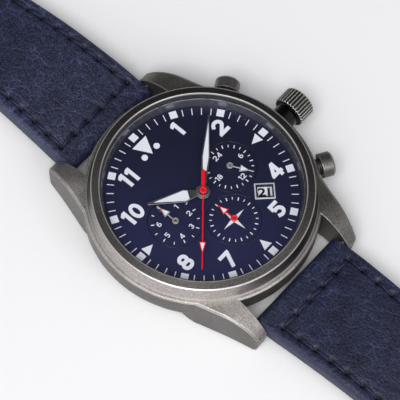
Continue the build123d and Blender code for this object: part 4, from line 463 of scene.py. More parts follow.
def lacquer(name, tone, roughness=0.3, coat=0.4, grain=0.18, depth=0.003, spread=0.12,
            metallic=0.0, shade_sweep=0.0):
    """Painted or lacquered metal with a fine grain under its coat. Painted shade, by its share, can make
    it darker towards +X and +Y across the piece."""
    finish = Finish(name)
    place = finish.place()
    fine = finish.noise(place, grain, detail=2.0, roughness=0.6)
    cloud = finish.noise(place, 6.0, detail=2.0)
    base = finish.mix(tint(tone, 1 - spread), tint(tone, 1 + spread), fine * 0.5 + cloud * 0.5)
    # Painted shade: darker towards +X and +Y, by the share given
    if shade_sweep:
        far = finish.dot(place, (0.8, 0.6, 0.0)).step(-16.0, 16.0)
        base = finish.mix(base, tint(tone, 0.4), far * shade_sweep)
    return finish.surface(base_color=base, roughness=roughness + (fine - 0.5) * 0.12,
                          metallic=metallic, coat_weight=coat, coat_roughness=0.12,
                          normal=finish.bump(fine, depth))


def dial_ink(tone, red, spot, reach):
    """White print, red within reach of one spot of the dial."""
    finish = Finish("dial_print")
    place = finish.place()
    flat = finish.scaled(place, (1.0, 1.0, 0.0))
    away = finish.vector("DISTANCE", flat, (*spot, 0.0), output="Value")
    near = 1.0 - away.step(reach, reach + 0.02)
    fine = finish.noise(place, 0.12, detail=2.0)
    white = finish.mix(tint(tone, 0.92), tone, fine)
    return finish.surface(base_color=finish.mix(white, red, near), roughness=0.5,
                          normal=finish.bump(fine, 0.003))


def moulded(name, tone):
    """Rubber or plastic with the dull skin of its mould."""
    finish = Finish(name)
    place = finish.place()
    skin = finish.noise(place, 0.2, detail=3.0)
    base = finish.mix(tint(tone, 0.8), tone, skin)
    return finish.surface(base_color=base, roughness=0.6 + (skin - 0.5) * 0.2,
                          normal=finish.bump(skin, 0.01))


def sapphire_glass():
    """Coated crystal: clear from above, glossier towards a grazing view. Its wall and its
    underside give no gloss."""
    finish = Finish("crystal_sapphire")
    clear = finish.node("ShaderNodeBsdfTransparent", None, {"Color": (0.97, 0.975, 1.0)})
    smear = finish.noise(finish.place(), 7.0, detail=4.0)
    gloss = finish.node("ShaderNodeBsdfGlossy", None, {"Color": (0.9, 0.93, 1.0), "Roughness": 0.02})
    facing = finish.node("ShaderNodeLayerWeight", None, {"Blend": 0.2}, output="Fresnel")
    outside = finish.facing_up().step(0.1, 0.4)
    share = (facing * 0.4 + smear.step(0.5, 0.9) * 0.004) * outside
    blend = finish.node("ShaderNodeMixShader", None, {0: share, 1: clear, 2: gloss})
    finish.tree.links.new(blend.socket, finish.tree.nodes["Material Output"].inputs["Surface"])
    return finish.material


def upper_leather(name="strap_leather_top"):
    """Oiled leather: pebbled grain, pale pull-up streaks, painted shade in the needle holes and the
    seam's groove, rubbed edges.
    """
    options = settings("watch_strap")
    finish = Finish(name)
    place = finish.place()
    vein_size, small_vein_size, pebble_size = 2.1, 0.8, 0.42
    cloud_size, patch_size, fibre_size, crumb_size = 6.0, 2.2, 0.16, 0.12
    wander = finish.node("ShaderNodeTexNoise", None, {"Vector": place, "Scale": 0.5, "Detail": 2.0},
                         output="Color")
    warped = finish.vector("MULTIPLY_ADD", wander, (1.5, 1.5, 1.5), place)
    veins = finish.cells(finish.scaled(warped, (1.0, 0.62, 1.0)), vein_size, "DISTANCE_TO_EDGE")
    small_veins = finish.cells(finish.scaled(warped, (1.0, 0.8, 1.0)), small_vein_size,
                               "DISTANCE_TO_EDGE")
    pebbles = finish.cells(place, pebble_size)
    fibre = finish.noise(place, fibre_size, detail=3.0, roughness=0.7)
    along_grain, cross_grain = [
        finish.noise(finish.scaled(place, stretch), crumb_size, detail=2.0, roughness=0.6)
        for stretch in ((1.0, 0.4, 1.0), (0.4, 1.0, 1.0))]
    cloud = finish.noise(place, cloud_size, detail=5.0, roughness=0.62)
    elsewhere = finish.vector("ADD", place, (40.0, 9.0, 3.0))
    patch = finish.noise(elsewhere, patch_size, detail=4.0, roughness=0.6)
    seam_shade, rubbed = finish.painted("painted_seam_shade"), finish.painted("rubbed")
    streak = (1.0 - veins.step(0.0, 0.06)) * cloud.step(0.42, 0.7)
    fine_streak = (1.0 - small_veins.step(0.0, 0.08)) * patch.step(0.38, 0.68)
    depth = cloud.step(0.3, 0.72) * 0.45 + patch.step(0.3, 0.7) * 0.2 + fibre.step(0.35, 0.65) * 0.35
    body = finish.mix(tint(options.leather, 0.22), tint(options.leather, 1.75), depth)
    crumbs = along_grain.step(0.53, 0.63) * 0.5 + cross_grain.step(0.53, 0.63) * 0.44
    pale = streak * 0.56 + fine_streak * 0.34 + crumbs * 0.8 + rubbed * (0.2 + fibre * 0.4)
    near = finish.part_of(place, 1).step(-45.0, -8.0)       # fewer pale streaks towards -Y, on the lower half
    lit = finish.mix(body, options.rubbed, pale.at_most(0.85) * (0.55 + 0.45 * near))
    # Painted shade in the needle holes and along the seam's groove
    base = finish.mix(lit, (0.001, 0.001, 0.002), seam_shade)
    creases = veins.step(0.0, 0.2) * 0.35 + small_veins.step(0.0, 0.3) * 0.25
    rough = 0.5 + (fibre - 0.5) * 0.25 + rubbed * 0.18 - cloud.step(0.4, 0.8) * 0.1
    return finish.surface(base_color=base, roughness=rough, specular_ior_level=0.3,
                          normal=finish.bump(pebbles * 0.4 + fibre * 0.3 + creases, 0.12, 0.9))


def lining_leather():
    """Smooth lining on the strap's wrist side."""
    finish = Finish("strap_leather_lining")
    place = finish.place()
    pores = finish.cells(place, 0.5)
    cloud = finish.noise(place, 4.0, detail=4.0)
    tone = settings("watch_strap").lining
    base = finish.mix(tint(tone, 0.6), tint(tone, 1.6), cloud)
    return finish.surface(base_color=base, roughness=0.55 + (cloud - 0.5) * 0.2,
                          normal=finish.bump(pores, 0.05, 0.7))


def edge_leather():
    """The strap's cut side: layers pressed together, burnished and a little fuzzy."""
    finish = Finish("strap_leather_edge")
    place = finish.place()
    layers = finish.noise(finish.scaled(place, (1.0, 0.12, 2.4)), 0.5, detail=4.0, roughness=0.7)
    fuzz = finish.noise(place, 0.18, detail=3.0, roughness=0.75)
    options = settings("watch_strap")
    base = finish.mix(tint(options.leather, 0.5), options.rubbed,
                      layers.step(0.3, 0.75) * 0.45 + fuzz.step(0.4, 0.75) * 0.25)
    return finish.surface(base_color=base, roughness=0.62 + (fuzz - 0.5) * 0.3,
                          normal=finish.bump(layers * 0.6 + fuzz * 0.4, 0.12, 0.8))


def sewing_thread():
    """Waxed thread with fine fibres."""
    finish = Finish("sewing_thread")
    fibre = finish.noise(finish.place(), 0.09, detail=3.0, roughness=0.7)
    tone = settings("watch_strap").thread
    base = finish.mix(tint(tone, 0.5), tint(tone, 1.9), fibre)
    return finish.surface(base_color=base, roughness=0.55, sheen_weight=0.05,
                          normal=finish.bump(fibre, 0.03))


# Meshes

def piece(name, points, faces, material, smooth=True):
    """A mesh object from points in millimetres, with one material or a list of them."""
    mesh = bpy.data.meshes.new(name)
    mesh.from_pydata([tuple(axis * MM for axis in point) for point in points], [], faces)
    mesh.validate()
    mesh.update()
    materials = material if isinstance(material, (list, tuple)) else [material]
    for one in materials:
        mesh.materials.append(one)
    mesh.polygons.foreach_set("use_smooth", [smooth] * len(mesh.polygons))
    made = bpy.data.objects.new(name, mesh)
    bpy.context.scene.collection.objects.link(made)
    return made


def loops_to_faces(loops, size, closed=False):
    """Quads between neighbouring closed loops of size points each."""
    faces = []
    last = loops if closed else loops - 1
    for row in range(last):
        here = row * size
        there = ((row + 1) % loops) * size
        for step in range(size):
            after = (step + 1) % size
            faces.append((here + step, here + after, there + after, there + step))
    return faces


def capped(loops, size):
    """Quads between neighbouring closed loops of size points each, and a face on both ends."""
    last = (loops - 1) * size
    ends = [tuple(range(size - 1, -1, -1)), tuple(range(last, last + size))]
    return loops_to_faces(loops, size) + ends


def joined(parts):
    """Joins lists of (points, faces) into one."""
    points = []
    faces = []
    for some_points, some_faces in parts:
        start = len(points)
        points.extend(some_points)
        faces.extend(tuple(index + start for index in face) for face in some_faces)
    return points, faces


def plate(outline, low_z, high_z, bevel=0.0):
    """A flat plate from an outline, with a sloping border on its upper face."""
    count = len(outline)
    middle = (sum(x for x, _ in outline) / count, sum(y for _, y in outline) / count)
    inner = []
    for x, y in outline:
        away = hypot(x - middle[0], y - middle[1]) or 1.0
        share = max(0.0, 1 - bevel / away)
        inner.append((middle[0] + (x - middle[0]) * share, middle[1] + (y - middle[1]) * share))
    levels = [(outline, low_z), (outline, high_z - bevel)]
    if bevel:
        levels.append((inner, high_z))
    return [(x, y, z) for line, z in levels for x, y in line], capped(len(levels), count)


def turned_ring(profile, centre, steps):
    """A closed profile of (radius, z) points turned about an upright axis."""
    points = []
    for step in range(steps):
        angle = 2 * pi * step / steps
        for radius, z in profile:
            points.append((centre[0] + radius * cos(angle), centre[1] + radius * sin(angle), z))
    return points, loops_to_faces(steps, len(profile), closed=True)


def clock(radius, angle, centre=(0.0, 0.0)):
    """A point at an angle in degrees clockwise from 12 o'clock."""
    return (centre[0] + radius * sin(radians(angle)), centre[1] + radius * cos(radians(angle)))


def turned_outline(outline, angle, centre=(0.0, 0.0)):
    """Turns an outline drawn pointing to 12 to a clock angle about a centre."""
    turn = radians(angle)
    return [(centre[0] + x * cos(turn) + y * sin(turn), centre[1] - x * sin(turn) + y * cos(turn))
            for x, y in outline]


# Finishes of the solid pieces

def dress(nodes, material):
    """Gives solid pieces one finish."""
    for name in nodes:
        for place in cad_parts[name].material_slots:
            place.material = material


class WATCH_OT_case(bpy.types.Operator):
    """Blasted case and bezel, turned case back, and the gaskets, holder and tubes in them"""
    bl_idname = "watch.case"
    bl_label = "Case and Bezel"

    def execute(self, context):
        options = settings("watch_metal")
        dress(["mid_case"], blasted_metal("case_blasted_steel", options.case_tone))
        dress(["bezel"], bezel_metal(options.bezel_tone))
        dress(["case_back"], turned_metal("case_back_steel", (0.4, 0.385, 0.37), ring=0.25))
        dress(["case_gaskets"], moulded("gasket_rubber", (0.02, 0.02, 0.022)))
        dress(["movement_holder"], moulded("holder_plastic", (0.45, 0.45, 0.44)))
        # The tubes' near-black tone is painted shade, for the dark gap between the case and the crown
        dress(["case_tubes"], brushed_metal("tube_steel", (0.03, 0.028, 0.027), along_x, roughness=0.3,
                                            bright=0.25, wear_and_highlight=0.6))
        return {"FINISHED"}


class WATCH_OT_crystal(bpy.types.Operator):
    """Clear coated crystal and the dark wall under it"""
    bl_idname = "watch.crystal"
    bl_label = "Crystal and Rehaut"

    def execute(self, context):
        dress(["crystal"], sapphire_glass())
        dress(["rehaut_ring"],
              lacquer("rehaut_lacquer", (0.2, 0.2, 0.24), coat=0.1, depth=0.0005, metallic=0.8))
        return {"FINISHED"}


class WATCH_OT_crown(bpy.types.Operator):
    """Dark ribbed crown, its stem and gasket, and both pushers with their coils"""
    bl_idname = "watch.crown"
    bl_label = "Crown and Pushers"

    def execute(self, context):
        tone = settings("watch_metal").crown_tone
        dress(["crown"], brushed_metal("crown_dark_steel", tint(tone, 0.6), along_x, bright=0.8, wear_and_highlight=1.0,
                                       metallic=0.8))
        dress(["upper_pusher", "lower_pusher"],
              blasted_metal("pusher_steel", (0.2, 0.188, 0.178), bright=0.45, roughness=0.36,
                            bump_depth=0.008, dark=0.7))
        dress(["winding_stem"], brushed_metal("spring_steel", (0.42, 0.42, 0.43), along_x))
        dress(["crown_gasket"], moulded("crown_gasket_rubber", (0.02, 0.02, 0.022)))
        # The coil is darker than the other spring steel: painted shade under the pusher's cap
        coil_steel = brushed_metal("coil_steel", (0.13, 0.13, 0.135), along_x, roughness=0.5,
                                   bright=0.25, wear_and_highlight=0.3)
        for side in ("upper", "lower"):
            self.spring(side, coil_steel)
        return {"FINISHED"}

    def spring(self, side, steel):
        """Coil under a pusher's cap."""
        node = side + "_pusher_spring"
        near, far = low(node), high(node)
        middle = (near + far) / 2
        heading = atan2(middle.y, middle.x)
        out = Vector((cos(heading), sin(heading), 0.0))
        across = Vector((-sin(heading), cos(heading), 0.0))
        outer = (far.z - near.z) / 2
        length = (far.x - near.x - 2 * outer * abs(across.x)) / abs(out.x)
        wire_half, turns, steps, around = 0.15, 4, 96, 8
        points = []
        for step in range(steps + 1):
            share = step / steps
            angle = 2 * pi * turns * share
            ray = across * cos(angle) + Vector((0.0, 0.0, sin(angle)))
            along = (length - 2 * wire_half) * (share - 0.5)
            centre = middle + out * along + ray * (outer - wire_half)
            for turn in range(around):
                bend = 2 * pi * turn / around
                points.append(tuple(centre + wire_half * (ray * cos(bend) + out * sin(bend))))
        coil = piece(side + "_pusher_coil", points, capped(steps + 1, around), steel)
        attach(coil, side + "_pusher_works")
        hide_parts(node)
        tuple((middle + out * length / 2) * MM)
        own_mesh(coil)


class WATCH_OT_dial(bpy.types.Operator):
    """Lacquered dial, its paint and print, the sub-dials' rims and the date window"""
    bl_idname = "watch.dial"
    bl_label = "Dial"

    def execute(self, context):
        options = settings("watch_dial")
        dress(["dial"], lacquer("dial_lacquer", options.lacquer, roughness=0.42, coat=0.08, grain=0.12,
                                depth=0.0015, shade_sweep=1.15))
        dress(["dial_markers"], lacquer("marker_paint", options.paint, roughness=0.5, coat=0.05,
                                        grain=0.15, depth=0.01, spread=0.05))
        number_ring, number_reach = 2.9, 0.7        # place and size of the weekdays' numbers
        last_day = clock(number_ring, 0, subdial_centres()[0])
        dress(["dial_printing"], dial_ink((0.8, 0.8, 0.8), options.red, last_day, number_reach))
        dress(["date_window_frame"], brushed_metal("window_silver", (0.62, 0.62, 0.64), even,
                                                   roughness=0.35, bright=0.85, wear_and_highlight=0.4,
                                                   metallic=0.2))
        dress(["date_disc"], lacquer("date_disc_white", (0.78, 0.78, 0.79), roughness=0.45, coat=0.1,
                                     grain=0.15, spread=0.04))
        self.rims()
        self.window()
        return {"FINISHED"}

    def rims(self):
        """Thin dark rings where the sub-dials step down: painted shade at the step."""
        half, top = 0.055, dial_top + 0.012
        inner, outer = subdial_radius - half, subdial_radius + half
        profile = [(inner, top - 0.06), (outer, top - 0.06), (outer, top - 0.01),
                   (subdial_radius, top), (inner, top - 0.01)]
        parts = [turned_ring(profile, centre, 128) for centre in subdial_centres()]
        black = lacquer("rim_painted_shade", (0.004, 0.004, 0.011), roughness=0.25, coat=0.3)
        lines = piece("subdial_rims", *joined(parts), black)
        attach(lines, "case")

    def window(self):
        """Black inner frame on the window's silver one."""
        centre = clock(date_radius, date_angle)
        length = window_length / 2 - window_border
        width = window_width / 2 - window_border
        step, lip = 0.22, 0.02
        top, bottom = high("date_window_frame").z + lip, dial_top - 0.3
        points = []
        for extra, z in ((0.0, bottom), (0.0, top), (step, top), (step, top - 2 * lip),
                         (-lip, top - 2 * lip), (-lip, bottom)):
            wide, long = width + extra, length + extra
            corners = [(-wide, -long), (wide, -long), (wide, long), (-wide, long)]
            points.extend((x, y, z) for x, y in turned_outline(corners, date_angle, centre))
        black = lacquer("window_black", (0.006, 0.006, 0.008), coat=0.2)
        inner = piece("date_window_inner_frame", points, loops_to_faces(6, 4, closed=True), black,
                      smooth=False)
        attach(inner, "case")


def subdial_centres():
    """Centres at 9, 3 and 6 o'clock."""
    return [clock(subdial_centre_radius, angle) for angle in (270, 90, 180)]


class WATCH_OT_date(bpy.types.Operator):
    """The month's numbers printed on the date disc"""
    bl_idname = "watch.date"
    bl_label = "Date Numbers"

    def execute(self, context):
        shown = settings("watch_dial").date_shown
        parts = [self.number(str(day), date_angle + (day - shown) * 360 / 31) for day in range(1, 32)]
        ink = lacquer("date_ink", (0.01, 0.01, 0.012), roughness=0.45, coat=0.05)
        numbers = piece("date_numbers", *joined(parts), ink, smooth=False)
        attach(numbers, "date_works")
        return {"FINISHED"}

    def number(self, text, turn):
        """One number, read outwards along the disc's radius."""
        font_size, widened, outwards = 1.6 * 1.37, 1.3, 0.14
        curve = bpy.data.curves.new("number", "FONT")
        curve.body = text
        curve.size = font_size * MM
        curve.align_x = "CENTER"
        curve.align_y = "CENTER"
        curve.offset = 0.06 * MM
        curve.space_character = 0.86
        curve.resolution_u = 4
        curve.extrude = 0.008 * MM
        drawn = bpy.data.objects.new("number", curve)
        bpy.context.scene.collection.objects.link(drawn)
        shape = bpy.data.meshes.new_from_object(drawn)
        top = high("date_disc").z + 0.009
        centre = clock(date_radius + outwards, turn)
        way = radians(90 - turn)
        points = []
        for vertex in shape.vertices:
            x, y, z = vertex.co.x / MM * widened, vertex.co.y / MM, vertex.co.z / MM
            points.append((centre[0] + x * cos(way) - y * sin(way),
                           centre[1] + x * sin(way) + y * cos(way), top + z))
        faces = [tuple(face.vertices) for face in shape.polygons]
        bpy.data.objects.remove(drawn)
        bpy.data.meshes.remove(shape)
        return points, faces


class WATCH_OT_hands(bpy.types.Operator):
    """Grained hands, the red seconds hand, and the pale fillings of the arrow heads"""
    bl_idname = "watch.hands"
    bl_label = "Hands"

    def execute(self, context):
        options = settings("watch_dial")
        grey = brushed_metal("hand_steel", (0.1, 0.095, 0.088), even, roughness=0.38, bright=0.4,
                             wear_and_highlight=0.7, metallic=0.6)
        pale = brushed_metal("small_hand_steel", (0.3, 0.29, 0.27), even, roughness=0.4, bright=0.7,
                             wear_and_highlight=0.7, metallic=0.4)
        red = lacquer("hand_red_lacquer", options.red, roughness=0.25, coat=0.5, grain=0.3, depth=0.002,
                      spread=0.06)
        paint = lacquer("hand_paint", options.paint, roughness=0.5, coat=0.05, grain=0.12, depth=0.01,
                        spread=0.05)
        dress(["hour_hand", "minute_hand"], grey)
        dress(["weekday_hand", "day_hand"], pale)
        dress(["seconds_hand", "zone_hand"], red)
        dress(["hour_inlay", "minute_inlay"], paint)
        middle = (0.0, 0.0)
        nine, three, six = subdial_centres()
        long_head, short_head, zone_head = (12.3, 9.9, 0.6), (3.6, 1.8, 0.7), (3.5, 1.8, 0.7)
        arrows = (("seconds", middle, 229.4, long_head), ("weekday", nine, 0.0, short_head),
                  ("day", three, 152.6, short_head), ("zone", six, 0.0, zone_head))
        for name, centre, angle, head in arrows:
            self.fill(name, centre, angle, *head, paint)
        pin = turned_metal("pin_steel", (0.12, 0.11, 0.11))
        large_hub, small_hub = 0.66, 0.6
        hubs = (("seconds", middle, large_hub, red), ("weekday", nine, small_hub, pale),
                ("day", three, small_hub, pale), ("zone", six, small_hub, red))
        for name, centre, radius, material in hubs:
            self.hub(name, centre, radius, material, pin)
        self.washers(grey)
        return {"FINISHED"}

    def fill(self, name, centre, angle, apex, base, half, paint):
        """Paint in an open arrow head, a little lower than its border. Apex and base are measured
        from the hand's axis, half is the head's half width."""
        wall = 0.15
        inner_base = base + wall
        inner_apex = apex - wall * (apex - base) / half
        inner_half = half * (inner_apex - inner_base) / (apex - base)
        outline = [(-inner_half, inner_base), (inner_half, inner_base), (0.0, inner_apex)]
        bottom = low(name + "_hand").z
        shape = plate(turned_outline(outline, angle, centre), bottom + 0.02, bottom + 0.13, bevel=0.03)
        filling = piece(name + "_arrow_paint", *shape, paint, smooth=False)
        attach(filling, name + "_works")

    def hub(self, name, centre, radius, material, pin_material):
        """Rounded ring on a hand's hub, with the arbor's end inside it."""
        top = high(name + "_hand").z
        ring = [(radius * share, top + rise) for share, rise in (
            (0.5, -0.04), (0.52, 0.03), (0.66, 0.07), (0.84, 0.06), (0.97, 0.01), (0.98, -0.06))]
        rim = piece(name + "_hub_ring", *turned_ring(ring, centre, 48), material)
        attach(rim, name + "_works")
        pin_profile = [(0.001, top - 0.02), (0.001, top + 0.035), (radius * 0.2, top + 0.03),
                       (radius * 0.28, top), (radius * 0.28, top - 0.02)]
        pin = piece(name + "_hub_pin", *turned_ring(pin_profile, centre, 32), pin_material)
        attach(pin, name + "_works")

    def washers(self, material):
        """Turned steps on the hubs of the hour and the minute hand."""
        for name, outer, inner in (("hour", 1.27, 1.0), ("minute", 1.09, 0.68)):
            top = high(name + "_hand").z
            ring = [(inner, top - 0.04), (inner, top + 0.035), (inner + 0.05, top + 0.06),
                    (outer - 0.12, top + 0.06), (outer - 0.03, top + 0.02), (outer, top - 0.04)]
            step = piece(name + "_hub_step", *turned_ring(ring, (0.0, 0.0), 72), material)
            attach(step, name + "_works")


class WATCH_OT_movement(bpy.types.Operator):
    """Gilt wheels, pearled plates and steel parts of the movement"""
    bl_idname = "watch.movement"
    bl_label = "Movement"

    def execute(self, context):
        plates = pearled_metal("plate_nickel", (0.62, 0.61, 0.58))
        dress(["main_plate", "train_bridge", "balance_cock"], plates)
        gilt = turned_metal("wheel_gilt", (0.72, 0.52, 0.25))
        dress(["barrel", "centre_wheel", "third_wheel", "fourth_wheel", "minute_wheel", "hour_wheel",
               "cannon_pinion", "subdial_idler", "zone_wheel", "day_wheel", "calendar_driver",
               "weekday_star", "balance_wheel"], gilt)
        steel = brushed_metal("movement_steel", (0.5, 0.5, 0.51), (1.0, 0.08, 1.0), roughness=0.25)
        dress(["escape_wheel", "pallet_fork", "hairspring"], steel)
        dress(["movement_screws"], turned_metal("screw_blue_steel", (0.06, 0.09, 0.35), roughness=0.2))
        dress(["rotor"], turned_metal("rotor_nickel", (0.58, 0.57, 0.55), ring=0.5))
        return {"FINISHED"}


class WATCH_OT_bars(bpy.types.Operator):
    """Steel spring bars and their tips, and the buckle with its bar and tongue"""
    bl_idname = "watch.bars"
    bl_label = "Spring Bars and Buckle"

    def execute(self, context):
        steel = brushed_metal("bar_steel", (0.45, 0.44, 0.43), along_x)
        dress(["upper_spring_bar", "lower_spring_bar", "upper_spring_bar_tip", "lower_spring_bar_tip",
               "buckle_bar"], steel)
        tone = tint(settings("watch_metal").case_tone, 1.2)
        dress(["buckle_frame"], blasted_metal("buckle_blasted_steel", tone))
        dress(["buckle_tongue"], brushed_metal("tongue_steel", (0.36, 0.34, 0.33), along_y))
        return {"FINISHED"}


# Leather

def arc(share):
    """Height of a unit circle's quarter over a share of its radius."""
    return sqrt(max(1 - share ** 2, 0.0))


class Strap:
    """One half of the strap, drawn towards +Y: its side view, its plan and its stitch rows."""

    step = 0.27         # between two loops of the skin
    lip = 0.5           # length over which the tip thins
    point = 11.0        # length of the tip in plan
    corner = 0.7        # rounding beside the lug
    shares = (0.0, 0.0933, 0.24, 0.4, 0.5333, 0.64)     # stations between the two bars

    def __init__(self, flat_z, flat_half, end_y, pointed, cross_y):
        self.flat_half = flat_half
        self.end_y = end_y
        self.pointed = pointed
        self.cross_y = cross_y
        self.stations = [self.along(share) for share in self.shares]
        bend_z = 4.1        # middle of the leather where it bends down to its flat part
        *_, bend, knee, flat = self.shares
        knee_z = flat_z + (bend_z - flat_z) * 0.55 * (flat - knee) / (flat - bend)
        self.centres = [bar_z, 5.0, 5.35, bend_z, knee_z, flat_z]
        self.halves = [strap_nose, 1.88, 1.88, 1.7, 1.45, flat_half]

    def along(self, share):
        """The place at a share of the way from the spring bar to the buckle's bar."""
        return bar_y + share * (buckle_bar_y - bar_y)

    def smooth(self, values, y):
        """A smooth curve through the station values, level at both ends."""
        places = self.stations
        if y <= places[0]:
            return values[0]
        if y >= places[-1]:
            return values[-1]
        index = max(i for i in range(len(places) - 1) if places[i] <= y)
        slopes = [0.0] * len(places)
        for i in range(1, len(places) - 1):
            slopes[i] = (values[i + 1] - values[i - 1]) / (places[i + 1] - places[i - 1])
        span = places[index + 1] - places[index]
        t = (y - places[index]) / span
        first, second = values[index], values[index + 1]
        return ((2 * t ** 3 - 3 * t ** 2 + 1) * first + (t ** 3 - 2 * t ** 2 + t) * span * slopes[index]
                + (3 * t ** 2 - 2 * t ** 3) * second + (t ** 3 - t ** 2) * span * slopes[index + 1])

    def centre(self, y):
        """Height of the leather's middle."""
        return self.smooth(self.centres, y)

    def half(self, y):
        """Half thickness, rounded off at the spring bar and at the buckle's bar."""
        if y < bar_y:
            return sqrt(max(strap_nose ** 2 - (bar_y - y) ** 2, 0.0))
        if y > buckle_bar_y and not self.pointed:
            return sqrt(max(self.flat_half ** 2 - (y - buckle_bar_y) ** 2, 0.0))
        value = self.smooth(self.halves, y)
        if self.pointed and y > self.end_y - self.lip:
            value *= sqrt(max(1 - ((y - self.end_y + self.lip) / self.lip) ** 2 * 0.6, 0.0))
        return value

    def width(self, y):
        """Half width in plan: straight, tapered, straight, then the point."""
        start, end = [self.along(share) for share in taper_shares]
        share = min(max((y - start) / (end - start), 0.0), 1.0)
        wide = strap_half_width + (tail_half_width - strap_half_width) * share
        if self.pointed and y > self.end_y - self.point:
            straight, narrowing = 0.82, 5.8     # share of the point that isn't rounded
            t = (y - self.end_y + self.point) / self.point
            narrow = tail_half_width - narrowing * min(t, straight)
            return narrow * arc(max((t - straight) / (1 - straight), 0.0))
        corner_end = bar_y - strap_nose + self.corner
        if y < corner_end:
            wide -= 0.6 * self.corner * (1 - arc((corner_end - y) / self.corner))
        return wide

    def rows(self):
        """Needle holes (x, y) of both side rows and the cross row, in sewing order."""
        options = settings("watch_strap")
        inset, pitch = options.stitch_inset / MM, options.stitch_pitch / MM
        finish_y = self.end_y - (4.0 if self.pointed else 7.5)      # where the side rows end
        half_cross = self.width(self.cross_y) - inset
        step = 0.25
        path = [(inset - self.width(y), y) for y in np.arange(finish_y, self.cross_y, -step)]
        path += [(x, self.cross_y) for x in np.arange(-half_cross, half_cross, step)]
        path += [(self.width(y) - inset, y) for y in np.arange(self.cross_y, finish_y, step)]
        if self.pointed:
            wide = self.width(finish_y) - inset
            path.extend((wide - 2 * wide * step / 12, finish_y) for step in range(1, 13))
        return evenly(path, pitch)


def evenly(path, pitch):
    """Points at even distances along a path, fitted to whole steps and to its corners."""
    corners = [0]
    for index in range(1, len(path) - 1):
        before = Vector(path[index]) - Vector(path[index - 1])
        after = Vector(path[index + 1]) - Vector(path[index])
        if before.angle(after, 0.0) > radians(30):
            corners.append(index)
    corners.append(len(path) - 1)
    points = [path[0]]
    for first, last in zip(corners, corners[1:]):
        stretch = path[first:last + 1]
        lengths = [0.0]
        for a, b in zip(stretch, stretch[1:]):
            lengths.append(lengths[-1] + hypot(b[0] - a[0], b[1] - a[1]))
        count = max(round(lengths[-1] / pitch), 1)
        for step in range(1, count + 1):
            at = lengths[-1] * step / count
            points.append((float(np.interp(at, lengths, [p[0] for p in stretch])),
                           float(np.interp(at, lengths, [p[1] for p in stretch]))))
    return points


def leather_slab(strap):
    """The strap's skin as loops around it, with grooves, needle holes and soft dents."""
    ys = [bar_y - strap_nose * cos(radians(a)) for a in np.linspace(3, 90, 12)]
    last = strap.end_y
    flat_end = last - strap.lip if strap.pointed else buckle_bar_y
    ys.extend(np.arange(bar_y + strap.step, flat_end, strap.step))
    turns = [radians(a) for a in np.linspace(0, 87, 9)]
    if strap.pointed:
        ys.extend(last - strap.lip * cos(a) for a in turns)
    else:
        ys.extend(buckle_bar_y + strap.flat_half * sin(a) for a in turns)
    rounding = settings("watch_strap").edge_rounding / MM
    worn_width = 0.9
    points, rubbed = [], []
    for y in ys:
        loop, wide = skin_loop(strap, y, rounding)
        for x, z in loop:
            points.append([x, y, z])
            rubbed.append((1 - min(max((wide - abs(x)) / worn_width, 0.0), 1.0)) ** 1.5)
    points = np.array(points)
    seam_shade = press_stitches(points, strap)
    faces = capped(len(ys), loop_size)
    kinds = [skin_part(face[0] % loop_size) for face in faces[:-2]] + [0, 0]
    return points, faces, kinds, seam_shade, rubbed


# Points of one loop of the skin: over the top, down the right side, back below, up the left side
top_steps, side_steps, bottom_steps = 88, 7, 44
bottom_start = top_steps + side_steps
loop_size = top_steps + bottom_steps + 2 * side_steps


def skin_loop(strap, y, rounding):
    """One loop (x, z) around the strap, and the strap's half width there."""
    half, wide, middle = strap.half(y), strap.width(y), strap.centre(y)
    radius, lower = min(rounding, half * 0.8), min(0.35, half * 0.4)

    def side(way, share):
        """A point of the cut side, at a share of its height from the top."""
        inwards = lower * max(share - 0.75, 0) / 0.25 * 0.4
        return way * (wide - inwards), middle + half - radius - share * (2 * half - radius - lower * 0.6)

    loop = []
    for step in range(top_steps + 1):
        x = wide * (2 * step / top_steps - 1)
        loop.append((x, top_height(x, wide, middle + half, radius)))
    loop.extend(side(1, step / side_steps) for step in range(1, side_steps))
    for step in range(bottom_steps + 1):
        x = wide * (1 - 2 * step / bottom_steps)
        drop = max(abs(x) - (wide - lower), 0) / lower
        loop.append((x * (1 - 0.03 * (drop > 0.99)), middle - half + lower * (1 - arc(drop))))
    loop.extend(side(-1, 1 - step / side_steps) for step in range(1, side_steps))
    return loop, wide


def skin_part(place):
    """Which leather a place of a loop belongs to: 0 upper, 1 lining, 2 cut side."""
    if place < top_steps:
        return 0
    return 1 if bottom_start <= place < bottom_start + bottom_steps else 2


def top_height(x, wide, top, radius):
    """Height of the upper face: a slight crown, a lower border and a rounded edge."""
    crown = min(0.16, 0.12 * radius / 0.8)
    inside = max(abs(x) - (wide - radius), 0) / radius if radius > 0 else 0
    return top - crown * (x / max(wide, 0.1)) ** 2 - radius * (1 - arc(inside))


groove_depth = 0.13         # of the seam's groove in the upper face


